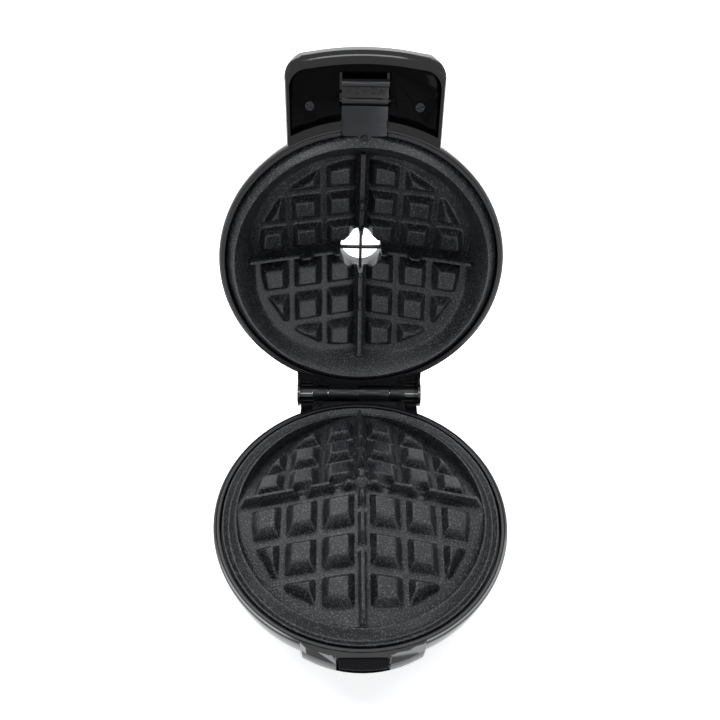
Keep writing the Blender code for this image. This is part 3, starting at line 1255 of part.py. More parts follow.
def thermal_fuse_mesh():
    """Cutout in its sleeve, lying on the reflector."""
    height = reflector_floor() + FUSE_RADIUS + CLEARANCE
    half = FUSE_LENGTH / 2
    neck = FUSE_RADIUS / 2
    profile = [(0, half + neck), (neck, half + neck), (neck, half), (FUSE_RADIUS, half),
               (FUSE_RADIUS, -half), (neck, -half), (neck, -half - neck), (0, -half - neck)]
    return turned(profile, SCREW_SIDES, (-FUSE_X, FUSE_Y, height), "X")


def block_top():
    return -BASE_DEPTH + BLOCK_HEIGHT


def terminal_block_mesh():
    low = -BASE_DEPTH
    half = BLOCK_WIDTH / 2
    body = block(-half, half, BLOCK_Y - BLOCK_DEPTH / 2, BLOCK_Y + BLOCK_DEPTH / 2, low,
                 block_top())
    wells = [block(x - LEAD_RADIUS * 2, x + LEAD_RADIUS * 2, BLOCK_Y - LEAD_RADIUS * 2,
                   BLOCK_Y + LEAD_RADIUS * 2, block_top() - LEAD_RADIUS * 3,
                   block_top() + OVERRUN) for x in (-LEAD_SPREAD, LEAD_SPREAD)]
    return cut(body, gathered(wells))


def lead_mesh(side):
    """Insulated lead from the lower element's cold end to the terminal block."""
    x, y = element_ends()[0 if side < 0 else 1]
    start = tail_end(-1) - CLEARANCE
    under = reflector_floor() - REFLECTOR_DEPTH / 4
    low = block_top() - LEAD_RADIUS * 3 + CLEARANCE
    return tube([(x, y, start), (x, y, under), (side * LEAD_SPREAD, BLOCK_Y, under * 6 / 5),
                 (side * LEAD_SPREAD, BLOCK_Y, low)], LEAD_RADIUS)


def cord_gland_mesh():
    """Strain relief in the rear wall, with the bore that the cord goes through."""
    outside = HINGE_Y + CRADLE_REAR + CLEARANCE
    inside = outside - GLAND_DEPTH
    wall = GLAND_FLANGE_WALL
    profile = [(GLAND_BORE_RADIUS, inside), (GLAND_RADIUS, inside), (GLAND_RADIUS, outside),
               (GLAND_FLANGE_RADIUS, outside), (GLAND_FLANGE_RADIUS - wall / 2, outside + wall),
               (GLAND_BORE_RADIUS, outside + wall)]
    return turned(profile, SMALL_SIDES, (0, 0, -GLAND_DROP), "Y")


# Lamps

def lamp_mesh(x):
    """Small round lens that stands through the lid and rests on its board."""
    low = lamp_board_top() + CLEARANCE
    top = LID_TOP_HEIGHT - LAMP_SINK
    return turned([(0, top + LAMP_RADIUS / 3), (LAMP_RADIUS * 2 / 3, top + LAMP_RADIUS / 6),
                   (LAMP_RADIUS, top - LAMP_RADIUS / 3), (LAMP_RADIUS, low), (0, low)],
                  SCREW_SIDES, (x, -LAMP_Y, 0))


def lamp_board_top():
    return LID_BROW_HEIGHT - LAMP_BOARD_WALL


def lamp_board_mesh():
    top = lamp_board_top()
    half = LAMP_BOARD_DEPTH / 2
    return block(-LAMP_BOARD_HALF, LAMP_BOARD_HALF, -LAMP_Y - half, -LAMP_Y + half,
                 top - LAMP_BOARD_WALL, top)


# Assembly

def add_pairs(name, places, make, finish, body):
    """Pieces that are repeated, numbered in order."""
    for i, place in enumerate(places, 1):
        piece(f"{name}_{i}", make(*place), finish, body)


def add_base(root):
    piece("base_shell", base_shell_mesh(), "gloss_black", root)
    piece("base_bezel", base_bezel_mesh(), "satin_black", root)
    piece("front_panel", front_panel_mesh(), "gloss_black", root)
    piece("latch_catch", latch_catch_mesh(), "satin_black", root)
    piece("bottom_cover", bottom_cover_mesh(), "satin_black", root)
    piece("lower_plate", lower_plate_mesh(), "nonstick", root)
    piece("cord_gland", cord_gland_mesh(), "rubber", root)
    feet = [(side * FRONT_FOOT_X, FRONT_FOOT_Y, cover_underside() - CLEARANCE)
            for side in (-1, 1)]
    feet += [(side * REAR_FOOT_X, REAR_FOOT_Y, cradle_floor() - CLEARANCE) for side in (-1, 1)]
    add_pairs("foot", feet, foot_mesh, "rubber", root)
    seat = cover_underside()
    add_pairs("cover_screw", around(COVER_SCREW_RADIUS, 4, 0),
              lambda x, y: screw_mesh(x, y, seat, -1, SMALL_HEAD_RADIUS, SMALL_HEAD_HEIGHT),
              "bright_steel", root)


def add_base_inside(root):
    piece("lower_reflector", lower_reflector_mesh(), "aluminised", root)
    piece("lower_element", element_mesh(-1), "bright_steel", root)
    piece("thermostat", thermostat_mesh(), "ceramic", root)
    piece("thermal_fuse", thermal_fuse_mesh(), "sleeve", root)
    piece("terminal_block", terminal_block_mesh(), "ceramic", root)
    add_pairs("lead", [(-1,), (1,)], lead_mesh, "sleeve", root)
    seat = -RIM_DEPTH - CLEARANCE - REFLECTOR_WALL
    add_pairs("reflector_screw", around(REFLECTOR_SCREW_RADIUS, 3, -90),
              lambda x, y: screw_mesh(x, y, seat, -1, SMALL_HEAD_RADIUS, SMALL_HEAD_HEIGHT,
                                      SCREW_LENGTH - OVERRUN),
              "bright_steel", root)


def add_hinge(root, lid):
    middle = (KNUCKLE_GAP / 2, KNUCKLE_MIDDLE)
    left = (-KNUCKLE_SPLIT, -KNUCKLE_INNER)
    face = -LOWER_BRACKET_FACE
    piece("hinge_bracket_lower",
          bracket_mesh([left, middle], BEZEL_TOP_RADIUS + CLEARANCE * 2, face - BRACKET_WALL, face,
                       LOWER_SCREW_Y), "dark_steel", root)
    add_pairs("hinge_screw_lower", [(-HINGE_SCREW_X,), (HINGE_SCREW_X,)],
              lambda x: screw_mesh(x, LOWER_SCREW_Y, face, 1, SMALL_HEAD_RADIUS, slotted=True),
              "dark_steel", root)
    piece("hinge_pin", hinge_pin_mesh(), "bright_steel", root)
    face = UPPER_BRACKET_FACE
    spans = [(-KNUCKLE_MIDDLE, -KNUCKLE_GAP / 2), (KNUCKLE_INNER, KNUCKLE_SPLIT)]
    piece("hinge_bracket_upper",
          bracket_mesh(spans, UPPER_RING_RADIUS + CLEARANCE * 2, face, face + BRACKET_WALL,
                       UPPER_SCREW_Y), "dark_steel", lid)
    add_pairs("hinge_screw_upper", [(-HINGE_SCREW_X,), (HINGE_SCREW_X,)],
              lambda x: screw_mesh(x, UPPER_SCREW_Y, face, -1, slotted=True), "dark_steel",
              lid)


def add_lid(lid):
    piece("lid_shell", lid_shell_mesh(), "gloss_black", lid)
    piece("lid_bezel", lid_bezel_mesh(), "satin_black", lid)
    piece("upper_plate", upper_plate_mesh(), "nonstick", lid)
    piece("filling_funnel", funnel_mesh(), "satin_black", lid)
    piece("upper_reflector", upper_reflector_mesh(), "aluminised", lid)
    piece("upper_element", element_mesh(1), "bright_steel", lid)
    piece("power_lamp", lamp_mesh(-LAMP_SPREAD), "red_lens", lid)
    piece("ready_lamp", lamp_mesh(LAMP_SPREAD), "green_lens", lid)
    piece("lamp_board", lamp_board_mesh(), "board", lid)


def add_handle(lid, latch):
    piece("handle_grip", handle_grip_mesh(), "gloss_black", lid)
    piece("handle_underside", handle_underside_mesh(), "gloss_black", lid)
    add_pairs("handle_screw", [(-HANDLE_SCREW_X,), (HANDLE_SCREW_X,)],
              lambda x: screw_mesh(x, -HANDLE_SCREW_Y, HANDLE_FLOOR, -1, slotted=True),
              "dark_steel", lid)
    piece("latch_bracket", latch_bracket_mesh(), "dark_steel", lid)
    seat = UPPER_RING_HEIGHT - CLEARANCE - LATCH_BRACKET_WALL
    piece("latch_screw", screw_mesh(0, -LATCH_SCREW_Y, seat, -1, length=LATCH_SCREW_LENGTH,
                                    slotted=True), "dark_steel", lid)
    piece("latch_pin", latch_pin_mesh(), "bright_steel", lid)
    piece("latch_lever", latch_lever_mesh(), "satin_black", latch)


def limits(items):
    """Lowest and highest corner of the pieces as they stand."""
    corners = [item.matrix_world @ vertex.co for item in items for vertex in item.data.vertices]
    low = [min(corner[k] for corner in corners) for k in range(3)]
    high = [max(corner[k] for corner in corners) for k in range(3)]
    return low, high


def main():
    clear_scene()
    root = carrier("waffle_maker", ORIGIN)
    lid = carrier("lid", (0, HINGE_Y, HINGE_Z), root)
    latch = carrier("latch", (0, -LATCH_PIVOT_Y, LATCH_PIVOT_Z), lid)
    add_base(root)
    add_base_inside(root)
    add_hinge(root, lid)
    add_lid(lid)
    add_handle(lid, latch)
    lid.rotation_euler.x = -math.radians(LID_OPEN_DEG)
    bpy.context.view_layer.update()
    pieces = [item for item in bpy.data.objects if item.type == "MESH"]
    low, high = limits(pieces)
    root.location = (-(low[0] + high[0]) / 2, -(low[1] + high[1]) / 2, -low[2])
    bpy.context.view_layer.update()
    for item in (root, lid, latch):
        place = item.matrix_world.translation
        print(item.name, "stands at", [round(value, 5) for value in place])
    triangles = sum(len(face.vertices) - 2 for item in pieces for face in item.data.polygons)
    print(len(pieces), "pieces,", triangles, "triangles")


if __name__ == "__main__":
    main()
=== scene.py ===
"""Round Belgian waffle maker, open for filling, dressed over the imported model.

Pieces are drawn with the lid closed, plan places from the waffle's centre and heights from
the top of the lower plate's rim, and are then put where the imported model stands.
"""
import json
import math

import bmesh
import bpy
import numpy as np
from mathutils import Matrix, Vector

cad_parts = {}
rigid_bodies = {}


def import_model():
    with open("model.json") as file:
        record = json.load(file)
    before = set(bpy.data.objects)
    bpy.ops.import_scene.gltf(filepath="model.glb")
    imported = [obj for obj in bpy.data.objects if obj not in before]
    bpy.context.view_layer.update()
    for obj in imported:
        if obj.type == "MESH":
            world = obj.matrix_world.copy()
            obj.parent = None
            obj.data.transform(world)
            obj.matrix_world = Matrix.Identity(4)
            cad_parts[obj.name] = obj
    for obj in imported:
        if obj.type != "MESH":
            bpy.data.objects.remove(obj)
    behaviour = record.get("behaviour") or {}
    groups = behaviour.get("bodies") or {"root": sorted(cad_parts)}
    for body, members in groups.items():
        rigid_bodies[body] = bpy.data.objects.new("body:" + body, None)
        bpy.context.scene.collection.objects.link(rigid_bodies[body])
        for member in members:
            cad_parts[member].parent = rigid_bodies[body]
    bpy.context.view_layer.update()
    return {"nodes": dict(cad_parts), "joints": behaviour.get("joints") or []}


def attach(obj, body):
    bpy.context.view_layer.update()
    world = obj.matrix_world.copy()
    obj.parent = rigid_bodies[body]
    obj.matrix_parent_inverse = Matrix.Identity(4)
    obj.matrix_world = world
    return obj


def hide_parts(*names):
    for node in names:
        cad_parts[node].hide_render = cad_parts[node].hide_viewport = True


for item in list(bpy.data.objects):
    bpy.data.objects.remove(item)
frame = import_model()

# Sizes taken over from the model, in metres
HINGE_Y = 0.1125
HINGE_Z = 0.0010
OPEN_DEG = 101.0
LOWER_APEX = 0.0288
UPPER_APEX = 0.0508
SLOPE = 0.318
POST_PITCH = 0.0255
POST_FIRST = 0.0159
POST_FOOT_HALF = 0.0105
POST_TOP_HALF = 0.0063
POST_HEIGHT = 0.0086
POST_FIELD = 0.0785
RIB_HEIGHT = 0.0105
RIB_CREST_HALF = 0.0012
RIB_FOOT_HALF = 0.0025
RIB_DRAFT = 0.0041
TAB_DEPTH = 0.0052
HOLE_RADIUS = 0.0160
WALL_DROP = 0.0038
RIM_RADIUS = 0.1040
HALF_WALL = 0.0011
DECK = 0.0053
BRACKET_HALF = 0.0383
HANDLE_HALF = 0.0525
HANDLE_REACH = 0.1540
HANDLE_TOP = 0.0200
HANDLE_ROOT = 0.0880
HANDLE_SCREW_X = 0.0365
HANDLE_SCREW_Y = -0.1185
SKIRT_RADIUS = 0.1110
PIVOT_Y = 0.1225
PIVOT_Z = 0.0050
PIN_BORE = 0.00105
SCREW_BORE = 0.0015
LATCH_HALF = 0.0153
LATCH_SCREW_Y = -0.0984
LATCH_SLOT = (-0.0159, 0.0159, -HANDLE_REACH, -HANDLE_ROOT, 0, 0.0065)
TONGUE_HALF = 0.0046
FINE_SIDES = 160

# Placing

joint_places = {joint["name"]: Vector(joint["pos_m"]) for joint in frame["joints"]}
BASE_PLACE = Matrix.Translation(joint_places["lid_hinge"] - Vector((0, HINGE_Y, HINGE_Z)))
LID_PLACE = (Matrix.Translation(joint_places["lid_hinge"])
             @ Matrix.Rotation(-math.radians(OPEN_DEG), 4, "X")
             @ Matrix.Translation((0, -HINGE_Y, -HINGE_Z)))
PLACES = {"base": BASE_PLACE, "lid": LID_PLACE, "latch": LID_PLACE}


def finished(name, bm, body, material, slot, *nodes, sharp_deg=35):
    """Turn a closed design mesh into a piece that stands and rides with its body."""
    mesh = bpy.data.meshes.new(name)
    bm.to_mesh(mesh)
    bm.free()
    return finished_mesh(name, mesh, body, material, slot, *nodes, sharp_deg=sharp_deg)


def finished_mesh(name, mesh, body, material, slot, *nodes, sharp_deg=35):
    """The same for a mesh drawn at the same place."""
    mesh.transform(PLACES[body])
    mesh.shade_smooth()
    mesh.set_sharp_from_angle(angle=math.radians(sharp_deg))
    mesh.materials.clear()
    mesh.materials.append(material)
    piece = bpy.data.objects.new(name, mesh)
    bpy.context.scene.collection.objects.link(piece)
    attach(piece, body)
    if nodes:
        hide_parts(*nodes)
    return piece


# Shape tools

def turned(bm, profile, sides=FINE_SIDES, centre=(0, 0, 0), axis="Z"):
    """Add a closed outline of (radius, height) points turned round an upright axis."""
    start = len(bm.verts)
    rings = []
    for radius, height in profile:
        if radius == 0:
            rings.append([bm.verts.new((0, 0, height))])
            continue
        turns = [math.tau * k / sides for k in range(sides)]
        rings.append([bm.verts.new((radius * math.cos(t), radius * math.sin(t), height))
                      for t in turns])
    faces = []
    for near, far in zip(rings, rings[1:] + rings[:1]):
        if len(near) == 1 and len(far) == 1:
            continue
        for k in range(sides):
            n = (k + 1) % sides
            if len(near) == 1:
                faces.append(bm.faces.new((near[0], far[n], far[k])))
            elif len(far) == 1:
                faces.append(bm.faces.new((near[k], near[n], far[0])))
            else:
                faces.append(bm.faces.new((near[k], near[n], far[n], far[k])))
    bm.verts.ensure_lookup_table()
    new = bm.verts[start:]
    if axis == "X":
        bmesh.ops.rotate(bm, verts=new, matrix=Matrix.Rotation(math.pi / 2, 3, "Y"))
    if axis == "Y":
        bmesh.ops.rotate(bm, verts=new, matrix=Matrix.Rotation(-math.pi / 2, 3, "X"))
    bmesh.ops.translate(bm, verts=new, vec=centre)
    bmesh.ops.recalc_face_normals(bm, faces=faces)
    return new


def rounded(outline, radius, steps=4, closed=True):
    """Round the corners of an outline of (a, b) points by up to a radius."""
    count = len(outline)
    result = []
    for i, point in enumerate(outline):
        here = Vector(point)
        if not closed and i in (0, count - 1):
            result.append(tuple(here))
            continue
        before = Vector(outline[i - 1]) - here
        after = Vector(outline[(i + 1) % count]) - here
        if here.x == 0 or before.length < 1e-6 or after.length < 1e-6:
            result.append(tuple(here))
            continue
        reach = min(radius, before.length * 0.45, after.length * 0.45)
        start = here + before.normalized() * reach
        end = here + after.normalized() * reach
        for k in range(steps + 1):
            t = k / steps
            result.append(tuple(start * (1 - t) ** 2 + here * 2 * t * (1 - t) + end * t ** 2))
    return result


def prism(bm, outline, low, high, axis="Z"):
    """Add an outline extruded along Z, as (x, y), or along X, as (y, z)."""
    rings = [[bm.verts.new((a, b, level) if axis == "Z" else (level, a, b)) for a, b in outline]
             for level in (low, high)]
    faces = [bm.faces.new((rings[0][i - 1], rings[0][i], rings[1][i], rings[1][i - 1]))
             for i in range(len(outline))]
    faces += [bm.faces.new(rings[0]), bm.faces.new(rings[1])]
    bmesh.ops.recalc_face_normals(bm, faces=faces)
    return rings[0] + rings[1]


def arc(centre_a, centre_b, radius, start_deg, end_deg, steps):
    turns = [math.radians(start_deg + (end_deg - start_deg) * k / steps) for k in range(steps + 1)]
    return [(centre_a + radius * math.cos(t), centre_b + radius * math.sin(t)) for t in turns]


# Cooking surfaces

def soft_max(a, b, blend):
    """The larger of two fields, rounded where they cross."""
    share = np.clip(0.5 + 0.5 * (a - b) / blend, 0, 1)
    return b * (1 - share) + a * share + blend * share * (1 - share)


def post_field(x, y, blend):
    """Height of the studs above the cooking surface."""
    draft = (POST_FOOT_HALF - POST_TOP_HALF) / POST_HEIGHT
    field = np.full_like(x, -1.0)
    across, along = np.abs(x), np.abs(y)
    for column in range(3):
        for row in range(3):
            if column + row > 3:
                continue
            cx = POST_FIRST + POST_PITCH * column
            cy = POST_FIRST + POST_PITCH * row
            inside = -soft_max(np.abs(across - cx) - POST_FOOT_HALF,
                               np.abs(along - cy) - POST_FOOT_HALF, blend * 1.2)
            length = math.hypot(cx, cy)
            limit = POST_FIELD - (across * cx + along * cy) / length
            if length + POST_FOOT_HALF > POST_FIELD:
                inside = -soft_max(-inside, -limit, blend * 1.2)
            stud = -soft_max(-inside / draft, np.full_like(x, -POST_HEIGHT), blend)
            field = np.maximum(field, stud)
    return field


def rib_field(u, v, start, end, start_draft, end_draft, height, blend):
    """Height of one rib that runs out along u, above the cooking surface."""
    side = (RIB_FOOT_HALF - np.abs(v)) * RIB_HEIGHT / (RIB_FOOT_HALF - RIB_CREST_HALF)
    first = (u - start) * height / max(start_draft, 1e-4)
    last = (end - u) * height / max(end_draft, 1e-4)
    return -soft_max(-side, -np.minimum(np.minimum(first, last), height), blend)


def lower_height(x, y):
    """Height of the lower cooking surface, over its peak, studs, ribs and dome."""
    blend = 0.0011
    base = LOWER_APEX - SLOPE * (np.abs(x) + np.abs(y))
    extra = np.zeros_like(x)
    extra = soft_max(post_field(x, y, blend), extra, blend)
    for u, v in ((x, y), (-x, y), (y, x), (-y, x)):
        for start, end, first, last, height in (
                (-0.0020, 0.0140, 0.0100, RIB_DRAFT * 0.85, 0.0090),
                (0.0184, 0.0393, RIB_DRAFT, RIB_DRAFT, RIB_HEIGHT),
                (0.0437, 0.0890, RIB_DRAFT, RIB_DRAFT * 1.5, RIB_HEIGHT)):
            rib = rib_field(u, v, start, end, first, last, height, 0.0004)
            extra = soft_max(rib, extra, 0.0007)
    radius = np.hypot(x, y)
    dome = 0.0042 + np.sqrt(np.maximum(0.0048 ** 2 - radius ** 2, 0))
    dome = np.where(radius < 0.0048, dome, -0.02)
    extra = np.maximum(extra, dome)
    return base + extra


def upper_height(x, y):
    """Height of the upper cooking surface, seen from below as a bowl."""
    blend = 0.0011
    radius = np.hypot(x, y)
    roof = UPPER_APEX - SLOPE * (np.abs(x) + np.abs(y))
    cone = (0.0935 - radius) / math.tan(math.radians(25.0)) - 0.0020
    base = -soft_max(-roof, -cone, 0.0020)
    extra = soft_max(post_field(x, y, blend), np.zeros_like(x), blend)
    height = roof - extra
    height = np.where(extra > 1e-5, np.minimum(height, base), base)
    for u, v in ((x, y), (-x, y), (y, x), (-y, x)):
        side = (RIB_FOOT_HALF - np.abs(v)) * RIB_HEIGHT / (RIB_FOOT_HALF - RIB_CREST_HALF)
        depth = np.full_like(x, RIB_HEIGHT)
        for centre in (0.0162, 0.0415):
            reach = (0.0054 - np.abs(u - centre)) * RIB_HEIGHT / RIB_DRAFT
            depth = np.maximum(depth, RIB_HEIGHT + np.clip(reach, 0, TAB_DEPTH))
        run = np.minimum((u - 0.0140) * 8, (0.0868 - u) * 4)
        rib = -soft_max(-side * 1.6, -np.minimum(depth, run), 0.0005)
        height = np.minimum(height, roof - np.maximum(rib, 0))
    return height


def grid_lines():
    """Grid lines over the plate, closer together where the studs and ribs have their edges."""
    lines = set(np.round(np.arange(0, 0.0895, 0.00105), 5))
    for k in range(3):
        centre = POST_FIRST + POST_PITCH * k
        for half in (POST_FOOT_HALF, POST_TOP_HALF):
            for side in (-1, 1):
                for step in (-0.0006, 0, 0.0006):
                    lines.add(round(centre + side * half + step, 5))
    lines.update((0.0006, 0.0010, 0.0012, 0.0015, 0.0020, 0.0025, 0.0030))
    ordered = [0.0]
    for value in sorted(lines):
        if value - ordered[-1] > 0.00038:
            ordered.append(value)
    return np.array([-value for value in ordered[:0:-1]] + ordered)


def cooking_surface(bm, height, outer, hole, way):
    """Add the fine surface between a hole and a circle; returns its open edges."""
    lines = grid_lines()
    x, y = np.meshgrid(lines, lines, indexing="ij")
    radius = np.hypot(x, y)
    keep = (radius < outer - 0.0004) & ((radius > hole + 0.0004) | (hole == 0))
    cells = keep[:-1, :-1] & keep[1:, :-1] & keep[:-1, 1:] & keep[1:, 1:]
    used = np.zeros_like(keep)
    for di in (0, 1):
        for dj in (0, 1):
            used[di:used.shape[0] - 1 + di, dj:used.shape[1] - 1 + dj] |= cells
    around = np.zeros(used.shape, int)
    for di in (0, 1):
        for dj in (0, 1):
            around[di:used.shape[0] - 1 + di, dj:used.shape[1] - 1 + dj] += cells
    edge = used & (around < 4)
    target = np.where(radius > (outer + hole) / 2, outer, hole)
    factor = np.where(edge, target / np.maximum(radius, 1e-9), 1)
    px, py = x * factor, y * factor
    z = height(px, py)
    verts = {}
    for i, j in zip(*np.nonzero(used)):
        verts[i, j] = bm.verts.new((px[i, j], py[i, j], z[i, j]))
    faces = []
    for i, j in zip(*np.nonzero(cells)):
        corners = [verts[i, j], verts[i + 1, j], verts[i + 1, j + 1], verts[i, j + 1]]
        faces.append(bm.faces.new(corners if way > 0 else corners[::-1]))
    rim = [e for e in {e for f in faces for e in f.edges} if len(e.link_faces) == 1]
    return rim


def edge_loops(edges):
    """Sort loose boundary edges into loops of vertices."""
    ahead = {}
    for edge in edges:
        for vert in edge.verts:
            ahead.setdefault(vert, []).append(edge)
    loops = []
    left = set(edges)
    while left:
        edge = left.pop()
        first, vert = edge.verts
        loop = [first]
        while vert != first:
            loop.append(vert)
            edge = next(e for e in ahead[vert] if e in left)
            left.discard(edge)
            vert = edge.other_vert(vert)
        loops.append(loop)
    return loops


def plan_angle(vert):
    return math.atan2(vert.co.y, vert.co.x)


def ring_joint(bm, loop, others):
    """Join two vertex loops round the axis, with any numbers of vertices, by triangles."""
    near = sorted(loop, key=plan_angle)
    far = sorted(others, key=plan_angle)
    i = j = 0
    while i < len(near) or j < len(far):
        a, b = near[i % len(near)], far[j % len(far)]
        next_near = plan_angle(near[i]) if i < len(near) else math.inf
        next_far = plan_angle(far[j]) if j < len(far) else math.inf
        if next_near <= next_far:
            face = (near[i - 1], a, far[j - 1])
            i += 1
        else:
            face = (near[i - 1], b, far[j - 1])
            j += 1
        if len(set(face)) == 3:
            bm.faces.new(face)


def plate_shell(height, outer, hole, profile, collar, way):
    """A whole plate: fine cooking surface, turned rim and a plain far side."""
    bm = bmesh.new()
    rim = cooking_surface(bm, height, outer, hole, way)
    loops = edge_loops(rim)
    loops.sort(key=lambda loop: -loop[0].co.xy.length)
    sides = FINE_SIDES
    turns = [-math.pi + math.tau * (k + 0.5) / sides for k in range(sides)]
    rings = [[bm.verts.new((r * math.cos(t), r * math.sin(t), z)) for t in turns]
             for r, z in profile]
    ring_joint(bm, loops[0], rings[0])
    for near, far in zip(rings, rings[1:]):
        for k in range(sides):
            bm.faces.new((near[k - 1], near[k], far[k], far[k - 1]))
    if hole:
        neck = [[bm.verts.new((r * math.cos(t), r * math.sin(t), z)) for t in turns]
                for r, z in collar]
        ring_joint(bm, loops[1], neck[0])
        for near, far in zip(neck, neck[1:]):
            for k in range(sides):
                bm.faces.new((near[k - 1], near[k], far[k], far[k - 1]))
        for k in range(sides):
            bm.faces.new((neck[-1][k - 1], neck[-1][k], rings[-1][k], rings[-1][k - 1]))
    else:
        top = bm.verts.new((0, 0, collar[0][1]))
        for k in range(sides):
            bm.faces.new((rings[-1][k - 1], rings[-1][k], top))
    bmesh.ops.recalc_face_normals(bm, faces=bm.faces)
    return bm


def lower_plate_bm():
    """The lower plate, with its dam, channel and flange."""
    profile = [(0.0890, -0.0003), (0.0892, 0.0), (0.0900, 0.0), (0.0904, -0.0004),
               (0.0919, -0.0027), (0.0924, -0.0033), (0.0946, -0.0056), (0.0954, -0.0060),
               (0.0962, -0.0056), (0.0982, -0.0033), (0.0988, -0.0030), (0.0995, -0.0030),
               (0.0998, -0.0034), (0.0998, -0.0090), (0.0996, -0.0092), (0.0920, -0.0092),
               (0.0920, -0.0150), (0.0860, -0.0150), (0.0860, -0.0125)]
    return plate_shell(lower_height, 0.0889, 0, profile, [(0, LOWER_APEX - WALL_DROP)], 1)


def upper_plate_bm():
    """The upper plate: deep bowl, flat ring and the collar round the filling hole."""
    profile = [(0.0938, -0.0022), (0.0944, -0.0018), (0.0958, -0.0001), (0.1002, 0.0041),
               (0.1005, 0.0045), (0.1005, 0.0076), (0.1001, 0.0080), (0.0927, 0.0080),
               (0.0840, 0.0265), (0.0560, 0.0340), (0.0184, 0.0488), (0.0183, 0.0520)]
    collar = [(0.0160, 0.0470), (0.0160, 0.0570), (0.0163, 0.0573), (0.0180, 0.0573),
              (0.0183, 0.0570)]
    return plate_shell(upper_height, 0.0934, HOLE_RADIUS, profile, collar, -1)


# Housings

def bm_object(bm, name="shape"):
    mesh = bpy.data.meshes.new(name)
    bm.to_mesh(mesh)
    bm.free()
    item = bpy.data.objects.new(name, mesh)
    bpy.context.scene.collection.objects.link(item)
    return item


def shaped(bm, steps):
    """Cut and join a design mesh with others, in order; returns a bmesh."""
    body = bm_object(bm)
    tools = []
    for i, (operation, tool) in enumerate(steps):
        cutter = bm_object(tool, f"tool{i}")
        tools.append(cutter)
        modifier = body.modifiers.new(f"step{i}", "BOOLEAN")
        modifier.object = cutter
        modifier.operation = operation
        modifier.solver = "EXACT"
    bpy.context.view_layer.update()
    seen = body.evaluated_get(bpy.context.evaluated_depsgraph_get())
    mesh = bpy.data.meshes.new_from_object(seen)
    for item in [body] + tools:
        bpy.data.objects.remove(item)
    result = bmesh.new()
    result.from_mesh(mesh)
    bpy.data.meshes.remove(mesh)
    bmesh.ops.remove_doubles(result, verts=result.verts, dist=0.000003)
    bmesh.ops.dissolve_degenerate(result, dist=0.000002, edges=result.edges)
    bmesh.ops.holes_fill(result, edges=result.edges, sides=4)
    return result


def softened(bm, width, segments=2, angle_deg=40):
    """Bevel the sharp edges of a design mesh a little."""
    item = bm_object(bm)
    modifier = item.modifiers.new("edges", "BEVEL")
    modifier.width = width
    modifier.segments = segments
    modifier.limit_method = "ANGLE"
    modifier.angle_limit = math.radians(angle_deg)
    modifier.use_clamp_overlap = True
    modifier.harden_normals = False
    bpy.context.view_layer.update()
    seen = item.evaluated_get(bpy.context.evaluated_depsgraph_get())
    mesh = bpy.data.meshes.new_from_object(seen)
    bpy.data.objects.remove(item)
    result = bmesh.new()
    result.from_mesh(mesh)
    bpy.data.meshes.remove(mesh)
    return result


def new_bm(maker, *args, **words):
    bm = bmesh.new()
    maker(bm, *args, **words)
    return bm


def slab(x_low, x_high, y_low, y_high, z_low, z_high):
    return new_bm(prism, [(x_low, y_low), (x_high, y_low), (x_high, y_high), (x_low, y_high)],
                  z_low, z_high)


def rod(radius, high, low, sides=24, centre=(0, 0, 0), axis="Z"):
    return new_bm(turned, [(0, high), (radius, high), (radius, low), (0, low)], sides, centre,
                  axis)


def hinge_arc(radius, start_deg, end_deg, steps):
    return arc(HINGE_Y, HINGE_Z, radius, start_deg, end_deg, steps)


LID_OUTER = [(0.1055, 0.0025), (0.1060, 0.0040), (0.1060, 0.0100), (0.1040, 0.0200),
             (0.0980, 0.0350), (0.0860, 0.0500), (0.0700, 0.0600), (0.0450, 0.0660)]
LID_INNER = [(0.0307, 0.0660), (0.0307, 0.0638), (0.0444, 0.0638), (0.0689, 0.0578),
             (0.0843, 0.0483), (0.0958, 0.0339), (0.1018, 0.0200), (0.1029, 0.0119),
             (0.1040, 0.0119), (0.1040, 0.0025)]
BASE_OUTER = [(0.10525, -0.0032), (0.1060, -0.0042), (0.1055, -0.0100), (0.1038, -0.0200),
              (0.0990, -0.0300), (0.0880, -0.0450), (0.0750, -0.0550)]
BASE_INNER = [(0.0620, -0.0550), (0.0620, -0.0528), (0.0739, -0.0528), (0.0858, -0.0439),
              (0.0968, -0.0289), (0.1016, -0.0200), (0.1029, -0.0116), (0.1040, -0.0116),
              (0.1040, -0.0032)]


def smooth_side(outline, radius):
    return rounded(outline, radius, steps=5, closed=False)


def filled_bm(outline, offset):
    """A turned solid that fills a housing's outline, moved out by an offset."""
    points = [(r + offset, z) for r, z in outline]
    low, high = sorted((points[0], points[-1]), key=lambda p: p[1])
    body = points if points[0][1] > points[-1][1] else points[::-1]
    return new_bm(turned, [(0, 0.2), (high[0], 0.2)] + body + [(low[0], -0.2), (0, -0.2)])


